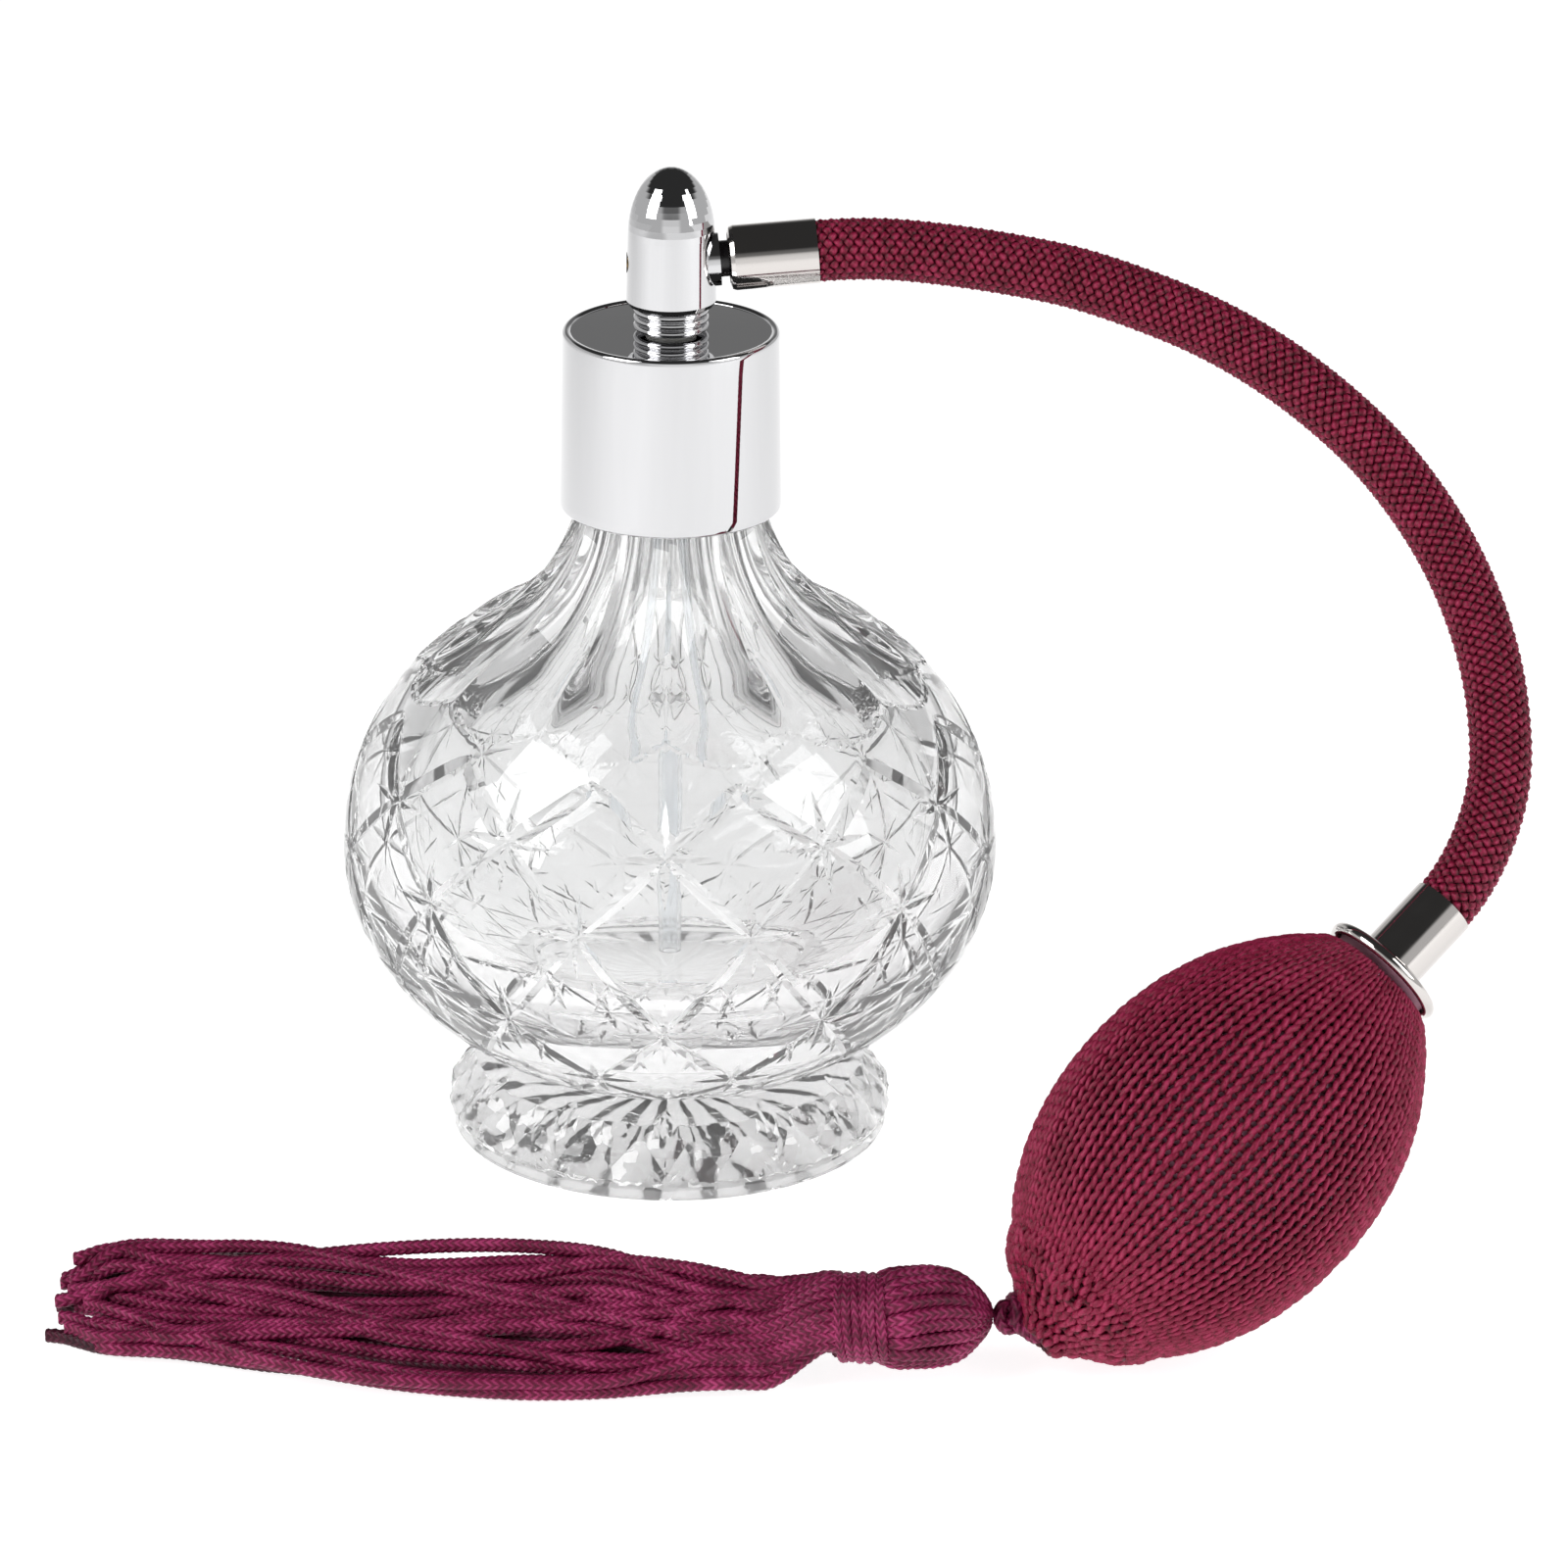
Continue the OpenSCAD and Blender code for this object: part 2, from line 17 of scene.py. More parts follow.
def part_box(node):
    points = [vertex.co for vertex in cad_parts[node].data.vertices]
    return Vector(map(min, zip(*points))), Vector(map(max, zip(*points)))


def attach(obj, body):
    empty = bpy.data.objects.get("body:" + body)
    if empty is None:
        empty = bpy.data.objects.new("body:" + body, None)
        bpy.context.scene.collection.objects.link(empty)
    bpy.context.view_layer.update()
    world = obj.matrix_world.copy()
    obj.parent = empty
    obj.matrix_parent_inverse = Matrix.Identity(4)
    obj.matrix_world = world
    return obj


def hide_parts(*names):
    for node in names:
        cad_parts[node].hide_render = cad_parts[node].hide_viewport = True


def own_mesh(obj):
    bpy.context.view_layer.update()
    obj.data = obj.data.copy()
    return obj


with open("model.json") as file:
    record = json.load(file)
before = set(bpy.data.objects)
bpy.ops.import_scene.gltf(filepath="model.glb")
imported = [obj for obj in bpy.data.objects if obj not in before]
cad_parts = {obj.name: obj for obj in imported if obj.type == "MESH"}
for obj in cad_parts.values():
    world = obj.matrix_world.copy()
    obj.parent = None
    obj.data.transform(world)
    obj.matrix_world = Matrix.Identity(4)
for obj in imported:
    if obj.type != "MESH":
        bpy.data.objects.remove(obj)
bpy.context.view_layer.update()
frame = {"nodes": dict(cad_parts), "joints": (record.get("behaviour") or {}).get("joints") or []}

MM = 0.001
TURN = 2 * math.pi
UP = (0, 0, 1)


# ---- small tools


def unit(v):
    """A direction, or each row of an array of them, made 1 long."""
    v = np.asarray(v, float)
    return v / np.linalg.norm(v, axis=-1, keepdims=True)


def joint(name):
    return next(j for j in frame["joints"] if j["name"] == name)


def srgb(red, green, blue):
    """A colour given as it looks on screen, 0 to 255, as the linear colour that a shader takes."""
    share = [c / 255 for c in (red, green, blue)]
    return [c / 12.92 if c <= 0.04045 else ((c + 0.055) / 1.055) ** 2.4 for c in share] + [1.0]


def add_mesh(name, points, faces, uv=None, smooth=True):
    """A mesh object from points in millimetres. uv gives one pair of numbers for each face corner."""
    mesh = bpy.data.meshes.new(name)
    mesh.from_pydata((np.asarray(points) * MM).tolist(), [], faces)
    if uv is not None:
        layer = mesh.uv_layers.new(name="along")
        layer.data.foreach_set("uv", np.asarray(uv, np.float32).ravel())
    if smooth:
        mesh.shade_smooth()
    piece = bpy.data.objects.new(name, mesh)
    bpy.context.scene.collection.objects.link(piece)
    return piece


materials = {}                 # by slot


def settle(piece, body, slot, *nodes, material=None):
    """Puts a finished piece on its body, in its slot and material, in place of these CAD nodes."""
    piece.data.materials.append(material or materials[slot])
    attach(piece, body)
    if nodes:
        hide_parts(*nodes)
    return piece


def distances(path):
    """How far along a polyline each of its points lies."""
    return np.concatenate([[0], np.cumsum(np.linalg.norm(np.diff(path, axis=0), axis=1))])


def path_length(path):
    return float(distances(path)[-1])


def ring_of(angle, first, second):
    """A direction at each angle from first towards second."""
    return np.cos(angle)[..., None] * first + np.sin(angle)[..., None] * second


def smooth_path(points, start, end, step):
    """A curve through points that leaves along start and arrives along end, as points a step apart."""
    p = np.asarray(points, float)
    gaps = np.linalg.norm(np.diff(p, axis=0), axis=1)
    slopes = np.zeros_like(p)
    slopes[1:-1] = (p[2:] - p[:-2]) / (gaps[1:] + gaps[:-1])[:, None]
    slopes[0], slopes[-1] = unit(start), unit(end)
    dense = []
    for i, gap in enumerate(gaps):
        t = np.linspace(0, 1, 24, endpoint=False)[:, None]
        dense.append((2 * t**3 - 3 * t**2 + 1) * p[i] + (t**3 - 2 * t**2 + t) * gap * slopes[i]
                     + (3 * t**2 - 2 * t**3) * p[i + 1] + (t**3 - t**2) * gap * slopes[i + 1])
    dense = np.vstack(dense + [p[-1:]])
    return evenly(dense, step)


def evenly(path, step):
    """The same path as points about a step apart."""
    along = distances(path)
    count = max(2, round(along[-1] / step) + 1)
    at = np.linspace(0, along[-1], count)
    return np.stack([np.interp(at, along, path[:, k]) for k in range(3)], 1)


def carried_frames(path):
    """Directions out and across at each point of a path, turned as little as possible."""
    along = unit(np.gradient(path, axis=0))
    previous = np.array([0, 0, 1.0])
    if abs(previous @ along[0]) > 0.95:
        previous = np.array([0, 1.0, 0])
    out = np.zeros_like(along)
    for i, t in enumerate(along):
        previous = out[i] = unit(previous - (previous @ t) * t)
    return out, np.cross(along, out)


def ring_faces(count, sides, closed=False):
    """The quads between rings of points, and from the last ring to the first if closed."""
    i, k = np.divmod(np.arange((count if closed else count - 1) * sides), sides)
    i1, k1 = (i + 1) % count, (k + 1) % sides
    return np.stack([i * sides + k, i * sides + k1, i1 * sides + k1, i1 * sides + k], 1)


def sweep(path, out, across, radius, sides, flat=1.0, closed=False, marks=None):
    """Points, faces and face-corner places of a tube round path. radius may vary by ring and side.

    marks gives each ring's place along the tube, if it isn't to be its distance.
    """
    count = len(path)
    angle = np.arange(sides) * TURN / sides
    size = np.broadcast_to(np.asarray(radius, float), (count, sides))
    points = (path[:, None]
              + (size * np.cos(angle) * flat)[:, :, None] * out[:, None]
              + (size * np.sin(angle))[:, :, None] * across[:, None]).reshape(-1, 3)
    along = distances(path) if marks is None else marks
    quads = ring_faces(count, sides, closed)
    i, k = np.divmod(quads[:, 0], sides)
    here, there = along[i], along[np.minimum(i + 1, count - 1)]
    left, right = k / sides, (k + 1) / sides
    place = np.stack([left, here, right, here, right, there, left, there], 1)
    return points, quads, place


class Heap:
    """Collects swept tubes into one mesh."""

    def __init__(self):
        self.points, self.faces, self.uv, self.count = [], [], [], 0

    def add(self, points, quads, place, sides=0):
        """Adds a tube. sides is given where its two ends are open, and closes each with a flat face."""
        self.points.append(points)
        self.faces += (quads + self.count).tolist()
        self.uv.append(place.reshape(-1, 2))
        if sides:
            last = len(points) - sides
            self.faces.append([self.count + sides - 1 - k for k in range(sides)])
            self.faces.append([self.count + last + k for k in range(sides)])
            self.uv.append(np.zeros((2 * sides, 2)))
        self.count += len(points)

    def settle(self, name, *place, **look):
        """The finished mesh, put in its place: its body, slot and the nodes it replaces."""
        return settle(add_mesh(name, np.vstack(self.points), self.faces, np.vstack(self.uv)),
                      *place, **look)


def basis(axis, side):
    """Two directions square to axis, the first as near side as it can be."""
    axis = unit(axis)
    first = unit(np.asarray(side, float) - (np.asarray(side, float) @ axis) * axis)
    return first, np.cross(axis, first)


def lathe(name, outline, sharp, *place, centre=(0, 0, 0), axis=UP, segments=96, closed=True, **look):
    """A turned piece, put in its place. outline holds (radius, distance along axis) pairs."""
    first, second = basis(axis, (1, 0, 0) if axis is UP else (0, 0, 1))
    centre, axis = np.asarray(centre, float), unit(axis)
    ring = ring_of(np.arange(segments) * TURN / segments, first, second)
    points = np.vstack([centre + r * ring + h * axis for r, h in outline])
    faces = ring_faces(len(outline), segments, closed).tolist()
    return settle(tidy(add_mesh(name, points, faces), sharp), *place, **look)


def arc(x, y, radius, start, end, steps):
    """Points of a round arc about (x, y), angles in degrees."""
    angles = np.radians(np.linspace(start, end, steps + 1))
    return [(x + radius * math.cos(a), y + radius * math.sin(a)) for a in angles]


def tidy(piece, sharp=30, weld=0.0005):
    """Joins points that lie in one place and marks edges over sharp degrees as sharp."""
    work = bmesh.new()
    work.from_mesh(piece.data)
    bmesh.ops.remove_doubles(work, verts=work.verts, dist=weld * MM)
    bmesh.ops.dissolve_degenerate(work, edges=work.edges, dist=weld * MM)
    bmesh.ops.recalc_face_normals(work, faces=work.faces)
    work.to_mesh(piece.data)
    work.free()
    piece.data.shade_smooth()
    piece.data.set_sharp_from_angle(angle=math.radians(sharp))
    return piece


# ---- materials


CORD_R = 0.92                  # of a knitted tassel cord
CORD_WALES = 4                 # columns of stitches round it
CORD_STITCH = 1.0              # length of a stitch
V_LEAN = 0.8                   # how far a stitch's legs run along the cord, in stitches


class Nodes:
    """A node tree. Each method adds a node and returns its output."""

    def __init__(self, owner):
        owner.use_nodes = True
        self.nodes, self.links = owner.node_tree.nodes, owner.node_tree.links
        self.places = self.nodes.new("ShaderNodeTexCoord")

    def node(self, kind, inputs, **settings):
        """inputs gives a value or another node's output for some of the new node's sockets."""
        made = self.nodes.new("ShaderNode" + kind)
        for key, value in settings.items():
            setattr(made, key, value)
        for socket, value in inputs.items():
            if isinstance(value, bpy.types.NodeSocket):
                self.links.new(value, made.inputs[socket])
            else:
                made.inputs[socket].default_value = value
        return made

    def math(self, operation, *values):
        return self.node("Math", dict(enumerate(values)), operation=operation).outputs[0]

    def multiply(self, a, b):
        return self.math("MULTIPLY", a, b)

    def total(self, *terms, plus=0.0):
        """The sum of (value, weight) pairs and plus."""
        for value, weight in terms:
            plus = self.math("MULTIPLY_ADD", value, weight, plus)
        return plus

    def axes(self, where="Object"):
        split = self.node("SeparateXYZ", {0: self.places.outputs[where]})
        return split.outputs[:3]

    def noise(self, scale, detail=3.0, where="Object", stretch=None):
        source = self.places.outputs[where]
        if stretch:
            source = self.node("Mapping", {"Vector": source, "Scale": stretch}).outputs["Vector"]
        inputs = {"Vector": source, "Scale": scale, "Detail": detail}
        return self.node("TexNoise", inputs).outputs["Fac"]

    def ramp(self, value, stops):
        """stops are (place, colour or grey) pairs."""
        ramp = self.node("ValToRGB", {"Fac": value})
        elements = ramp.color_ramp.elements
        while len(elements) < len(stops):
            elements.new(0.5)
        for element, (place, colour) in zip(elements, stops):
            element.position = place
            element.color = colour if isinstance(colour, (list, tuple)) else (colour,) * 3 + (1,)
        return ramp.outputs["Color"]


class Shader(Nodes):
    """A material with one main shader, built up from procedural nodes."""

    def __init__(self, name, **settings):
        self.material = bpy.data.materials.new(name)
        super().__init__(self.material)
        self.main = self.nodes["Principled BSDF"]
        for socket, value in settings.items():
            self.main.inputs[socket.replace("_", " ")].default_value = value

    def drive(self, socket, value, stops):
        """The main shader's socket follows value through a ramp of these stops."""
        self.links.new(self.ramp(value, stops), self.main.inputs[socket])

    def bump(self, height, strength, distance):
        """Adds a bump of this many millimetres, on top of any that is there."""
        inputs = {"Height": height, "Strength": strength, "Distance": distance * MM}
        normal = self.main.inputs["Normal"]
        if normal.is_linked:
            inputs["Normal"] = normal.links[0].from_socket
        self.links.new(self.node("Bump", inputs).outputs["Normal"], normal)


UNDERSIDE_Z, UNDERSIDE_R = 1.4, 26.2       # the underside is lower than this, and inside this radius
STAR_RAYS = 24.0


def cut_glass():
    """Clear glass whose underside is ground dull between the polished rays of a cut star. Its foot and neck
    are painted lighter than its body, as painted light.
    """
    s = Shader("cut_glass", IOR=1.52, Transmission_Weight=0.93)
    x, y, z = s.axes()
    # Painted light: the base colour is white at the foot, and lighter at the shoulder and neck than the
    # faint grey of the body.
    height = s.total((z, 10.0), (s.noise(60, 2.0), 0.04))
    body = (0.915, 0.917, 0.918, 1)
    s.drive("Base Color", height, [(0.10, (1.0, 1.0, 1.0, 1)), (0.2, body), (0.62, body),
                                   (0.74, (0.975, 0.977, 0.978, 1))])
    flat = s.node("VectorMath", {0: s.places.outputs["Object"], 1: (1, 1, 0)}, operation="MULTIPLY")
    reach = s.node("VectorMath", {0: flat.outputs[0]}, operation="LENGTH")
    under = s.multiply(s.math("LESS_THAN", z, UNDERSIDE_Z * MM),
                       s.math("LESS_THAN", reach.outputs["Value"], UNDERSIDE_R * MM))
    ray = s.math("SINE", s.multiply(s.math("ARCTAN2", y, x), STAR_RAYS))
    ground = s.total((s.noise(160, 3.0), 0.8), (ray, 0.22), plus=0.1)
    s.drive("Roughness", s.multiply(under, ground), [(0.34, 0.0), (0.42, 0.8), (1.0, 0.9)])
    s.bump(s.noise(60, 1.0), 0.07, 0.25)
    return s.material


def polished(name, colour, rough):
    """Polished metal with faint orange peel and a little unevenness in its polish."""
    s = Shader(name, Base_Color=colour, Metallic=1.0)
    s.drive("Roughness", s.noise(260, 4.0), [(0.35, rough), (0.75, rough * 2.2)])
    s.bump(s.noise(900, 2.0), 0.03, 0.02)
    return s.material


def plastic(name, colour, dark, rough, through=0.0):
    """Moulded plastic, a little cloudy in its colour. through is how much light it lets through."""
    s = Shader(name, IOR=1.49, Transmission_Weight=through)
    s.drive("Base Color", s.noise(180, 3.0), [(0.3, dark), (0.7, colour)])
    s.drive("Roughness", s.noise(600, 3.0), [(0.3, rough), (0.7, rough + 0.12)])
    s.bump(s.noise(1500, 2.0), 0.1, 0.02)
    return s.material


def rubber(name, colour, dark):
    """Soft matt rubber with a fine grain."""
    s = Shader(name, IOR=1.52)
    s.drive("Base Color", s.noise(220, 5.0), [(0.3, dark), (0.7, colour)])
    s.drive("Roughness", s.noise(900, 4.0), [(0.3, 0.42), (0.7, 0.62)])
    s.bump(s.noise(2600, 3.0), 0.25, 0.03)
    return s.material


def turned_brass():
    """Darkened brass with the fine rings that a lathe leaves."""
    s = Shader("turned_brass", Base_Color=(0.20, 0.14, 0.07, 1), Metallic=1.0)
    inputs = {"Vector": s.places.outputs["Object"], "Scale": 1400, "Distortion": 0.4}
    rings = s.node("TexWave", inputs, bands_direction="Z").outputs["Fac"]
    s.drive("Roughness", rings, [(0.2, 0.16), (0.9, 0.3)])
    s.bump(rings, 0.2, 0.01)
    return s.material


def silky(name, tint):
    """A shader with the faint sheen of rayon."""
    return Shader(name, Sheen_Weight=0.1, Sheen_Roughness=0.35, Sheen_Tint=tint,
                  Specular_IOR_Level=0.3)


def yarn(name, deep, middle, bright, plies=2.0, lay=1.4, period=None, crest_highlight=0.0, level=0.0):
    """Silky yarn. Its plies twist round it: uv runs round the yarn from its outward side and along it.

    period is the spacing along it of the crests where it lies on top of its neighbours, crest_highlight how
    much brighter they are painted, as a painted highlight, and level shifts the whole of its shade. With a
    period its sides are also painted darker than its outward face, as painted shade.
    """
    s = silky(name, bright)
    round_it, along, _ = s.axes("UV")
    twist = s.total((round_it, plies), (along, 1 / lay))
    strand = s.math("SINE", s.multiply(twist, TURN))
    fibres = s.noise(9.0, 3.0, "UV", (4.0, 0.7, 1.0))
    mixed = s.total((s.noise(330, 4.0), 0.3), (strand, 0.07), (fibres, 0.7))
    if period:
        # Painted shade and highlight: the yarn's sides darker than its outward face, and its crests lighter
        # where it lies over its neighbours.
        outward = s.math("COSINE", s.multiply(round_it, TURN))
        crest = s.math("COSINE", s.multiply(along, TURN / period))
        mixed = s.total((outward, 0.10), (crest, crest_highlight), (mixed, 1.0), plus=level)
    s.drive("Base Color", mixed, [(0.28, deep), (0.5, middle), (0.78, bright)])
    s.drive("Roughness", fibres, [(0.3, 0.38), (0.7, 0.6)])
    s.bump(strand, 0.5, 0.05)
    s.bump(fibres, 0.5, 0.05)
    return s.material


def knitted(name, deep, middle, bright):
    """Fine knitted cord: rows of small V stitches, painted darker in the grooves between them as painted
    shade. uv runs round the cord and, in millimetres, along it.
    """
    s = silky(name, bright)
    round_it, along, _ = s.axes("UV")
    column = s.math("FRACT", s.multiply(round_it, float(CORD_WALES)))
    side = s.math("ABSOLUTE", s.math("SUBTRACT", s.multiply(column, 2.0), 1.0))
    row = s.total((along, 1 / CORD_STITCH), (side, V_LEAN))
    leg = s.math("SINE", s.multiply(row, TURN))
    gap = s.math("POWER", side, 4.0)
    height = s.total((leg, 0.5), (gap, -0.4))
    fibres = s.noise(12.0, 3.0, "UV", (6.0, 1.0, 1.0))
    # The colour follows the stitches' height: the legs painted lighter and the grooves between columns
    # darker, painted shade over the yarn's own tone.
    shade = s.total((height, 0.2), (s.noise(300, 4.0), 0.5), (fibres, 0.5))
    s.drive("Base Color", shade, [(0.2, deep), (0.48, middle), (0.75, bright)])
    s.drive("Roughness", fibres, [(0.3, 0.38), (0.7, 0.6)])
    s.bump(height, 0.8, 0.12)
    s.bump(fibres, 0.4, 0.04)
    return s.material


# ---- the camera

LOOK_AT = (14.4, 0, 45.6)      # what the camera looks at
CAMERA_AWAY = 950
CAMERA_UP = 21                 # degrees above the horizon
CAMERA_ROLL = 0.45             # degrees
CAMERA_LENS = 172.37           # on a sensor 36 wide


def make_camera():
    data = bpy.data.cameras.new("camera")
    data.sensor_width = 36
    data.lens = CAMERA_LENS
    data.clip_start, data.clip_end = 0.05, 50
    camera = bpy.data.objects.new("camera", data)
    bpy.context.scene.collection.objects.link(camera)
    up = math.radians(CAMERA_UP)
    back = Vector((0, -math.cos(up), math.sin(up)))
    camera.location = (Vector(LOOK_AT) + CAMERA_AWAY * back) * MM
    turn = Matrix.Rotation(math.radians(CAMERA_ROLL), 4, back)
    camera.rotation_euler = (turn @ (-back).to_track_quat("-Z", "Y").to_matrix().to_4x4()).to_euler()
    bpy.context.scene.camera = camera


# ---- the frame

port = np.array(joint("hose_swivel")["pos_m"]) / MM
port_axis = unit(joint("hose_swivel")["axis"])
bulb_low, bulb_top = (np.array(c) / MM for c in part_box("net_cover"))
bulb_middle = (bulb_low + bulb_top) / 2
bulb_axis = -unit(joint("bulb_squeeze")["axis"])         # towards the tassel
knot = np.array(joint("tassel_swing")["pos_m"]) / MM

HANG = math.radians(35.2)      # how far the hose hangs out from straight down
BULB_HALF = 29.4               # half the bulb's length
BULB_R = 20.2                  # its radius at the middle
NET_END = 31.2                 # from the bulb's middle to where the net ends in the twisted cord
NET_THICK = 0.9
RUBBER_THICK = 2.0

# The hose's route, across and down from the port in the plane that it hangs in.
HOSE_ROUTE = [(18, -1.7), (26, -2), (34, -1.3), (42, -0.1), (50, 1.6), (58.5, 4.5),
              (66.5, 8), (74, 12.5), (81, 18), (87, 24), (92.5, 31.5), (96.5, 39),
              (99.5, 47.5), (101, 56), (101, 65), (98.5, 73.5), (94, 80.7)]
HOSE_R = 3.9
HEAD_END = np.array([27.1, -79.4, 8.4])                  # the tassel's binding starts here
BINDING_END = np.array([20.2, -78.2, 8.0])


def hung(u, v):
    """A point of the hose's plane in the part's frame."""
    return [u, port[1] - v * math.sin(HANG), port[2] - v * math.cos(HANG)]


# ---- the hose

BRAID_YARNS = 12               # each way round
BRAID_TURN = 15.3              # length of hose for one turn of a yarn
BRAID_LIFT = 0.34              # how far a yarn rises and dips at a crossing
YARN_WIDE = 0.50               # half a braid yarn's width
YARN_FLAT = 0.62               # its thickness as a share of its width
CROSSING_SAMPLES = 3


def make_hose():
    """The braided hose, yarn by yarn, and the rubber tube inside it."""
    path = smooth_path([hung(u, v) for u, v in HOSE_ROUTE], port_axis, bulb_axis,
                       BRAID_TURN / (2 * BRAID_YARNS * CROSSING_SAMPLES))
    out, across = carried_frames(path)
    place = np.linspace(0, path_length(path), len(path))
    middle_r = HOSE_R - BRAID_LIFT - YARN_WIDE * YARN_FLAT
    braid = Heap()
    for way in (1, -1):
        for k in range(BRAID_YARNS):
            angle = (way * place / BRAID_TURN + k / BRAID_YARNS) * TURN
            lift = way * BRAID_LIFT * np.cos(BRAID_YARNS * TURN * place / BRAID_TURN)
            outward = ring_of(angle, out, across)
            line = path + (middle_r + lift)[:, None] * outward
            sideways = unit(np.cross(unit(np.gradient(line, axis=0)), outward))
            marks = place + (1 - way) / 4 * BRAID_TURN / BRAID_YARNS
            braid.add(*sweep(line, outward, sideways, YARN_WIDE, 6, YARN_FLAT, marks=marks), sides=6)
    hose = braid.settle("hose_braid", "hose_and_bulb", "braid_cord", "hose_sleeve")
    tube_path = path[::6]
    if not np.allclose(tube_path[-1], path[-1]):
        tube_path = np.vstack([tube_path, path[-1:]])
    tube = Heap()
    # The tube's dark colour shows in the braid's gaps: partly the rubber's own colour, partly painted shade
    # for those gaps.
    tube.add(*sweep(tube_path, *carried_frames(tube_path), middle_r - 0.12, 24), sides=24)
    inner = tube.settle("hose_tube", "hose_and_bulb", "hose_rubber", "hose_inner_tube")
    coarse = evenly(path, 2.0)
    path_length(path) * MM


# ---- the tassel

SKIRT_LANES = 11               # cords side by side on the heap's visible slope
SKIRT_FILL = 11                # cords under them
SKIRT_OVER = 11                # cords that lie across the others
# Along the skirt: x, the y of its front, crest and back, and the height of its crest's cords.
SKIRT_SHAPE = [(13, -82.6, -76.2, -72.8, 12.0), (8.5, -84.2, -75.4, -71.5, 11.7),
               (3, -84.8, -73.3, -69, 11.1), (-6, -85.0, -69, -64, 10.3), (-16, -84.9, -65, -59.5, 9.3),
               (-30, -84.8, -61.5, -55, 8.2), (-45, -81.8, -57.6, -52, 7.7), (-58, -77.8, -57.6, -52, 6.9),
               (-66, -75.6, -57.6, -52, 6.5), (-72, -71.5, -60, -55, 4.8)]
SKIRT_END = -74.4              # no tip reaches further
SKIRT_DEPTH = 1.6              # how far inside the binding its cords begin
OVER_LIFT = 1.25               # how much higher the cords on top lie


def knit_cord(heap, path, radius=CORD_R, sides=20, phase=0.0):
    """Adds a knitted cord whose V stitches are raised in its surface. Its two ends are a little thinner."""
    place = np.linspace(0, path_length(path), len(path))[:, None]
    column = (np.arange(sides) / sides * CORD_WALES) % 1
    side = np.abs(2 * column - 1)[None]
    leg = np.cos(TURN * (place / CORD_STITCH + V_LEAN * side + phase))
    size = radius * (1 - 0.09 * (1 - leg) - 0.08 * side**4)
    size[0] *= 0.8
    size[-1] *= 0.86
    heap.add(*sweep(path, *carried_frames(path), size, sides), sides=sides)


def on_heap(station, across, lift):
    """A point of the heap's section: across runs from its front at 0 to its crest at 1."""
    x, front, crest, back, high = station
    height = CORD_R + (high - CORD_R) * (across if across <= 1 else max(0, 2 - across))
    y = front + (crest - front) * across if across <= 1 else crest + (back - crest) * (across - 1)
    return np.array([x, y, max(CORD_R + 0.05, height * lift)])


def skirt_paths():
    """Each cord's line, from inside the binding to its tip on the table.

    A cord has a lane across the heap, a lift as a share of the heap's height, how far it drifts from its
    lane, and how far out in the binding it starts.
    """
    draw = random.Random(8)
    axis = unit(BINDING_END - HEAD_END)
    side, top = np.array([0, 0.93, -0.36]), np.array([0, 0.36, 0.93])
    cords = [((k + 0.5) / SKIRT_LANES, 1.0, 0.07, 3.7) for k in range(SKIRT_LANES)]
    cords += [(0.05 + 1.2 * (k + 0.5) / SKIRT_FILL, 0.72, 0.03, 2.4) for k in range(SKIRT_FILL)]
    cords += [(0.12 + 0.76 * (k + 0.5) / SKIRT_OVER, 1.0, 0.26, 4.6) for k in range(SKIRT_OVER)]
    lines = []
    for number, (lane, lift, drift, out) in enumerate(cords):
        over = number >= SKIRT_LANES + SKIRT_FILL
        turn = math.pi * (1.42 - 1.22 * lane)
        start = (BINDING_END - SKIRT_DEPTH * axis
                 + out * (math.cos(turn) * side * 0.98 + math.sin(turn) * top))
        if not over and lift == 1.0:
            start = start - (0.8 if number % 2 else 0.0) * math.sin(turn) * top
        points = [start, start + 2.2 * axis]
        wander, phase = draw.uniform(0.7, 1.1) * drift, 4.5 * lane + draw.uniform(-0.5, 0.5)
        cycles = draw.uniform(1.5, 1.9)
        if over:
            wander, phase, cycles = draw.choice((-1, 1)) * wander, draw.uniform(0, TURN), cycles * 0.6
        for i, station in enumerate(SKIRT_SHAPE):
            share = i / (len(SKIRT_SHAPE) - 1)
            across = lane + wander * math.sin(phase + TURN * cycles * share) * min(1, share * 3)
            point = on_heap(station, min(1.9, max(-0.02, across)), lift)
            point += [draw.uniform(-0.8, 0.8), draw.uniform(-0.3, 0.3), draw.uniform(0, 0.5)]
            if over:
                point[2] += OVER_LIFT
            points.append(point)
        reach = points[-1][0] + draw.uniform(-1.5, 9.0) * (0.5 + 0.5 * (number % 3 > 0))
        while len(points) > 4 and points[-2][0] < reach + 3:
            points.pop(-2)
        points[-1][0] = max(reach, SKIRT_END)
        points[-1][2] = max(CORD_R + 0.05, points[-1][2] - draw.uniform(0.0, 1.2))
        lines.append(smooth_path(points, axis, unit([-1, draw.uniform(-0.12, 0.12), -0.05]), 0.3))
    return lines


def make_skirt(shaded):
    """The skirt, cord by cord. shaded is the same cord where the others keep the light off it."""
    for i, line in enumerate(skirt_paths()):
        strand = Heap()
        knit_cord(strand, line, phase=i * 0.37)
        under = SKIRT_LANES <= i < SKIRT_LANES + SKIRT_FILL
        piece = strand.settle(f"tassel_cord_{i + 1:02d}", "tassel", "tassel_cord",
                              *(["tassel_skirt"] if i == 0 else []), material=shaded if under else None)
        coarse = evenly(line, 1.5)
        path_length(coarse) * MM


HEAD_CORDS = 21
HEAD_TIP = 3.4                 # where its cords begin, from the knot
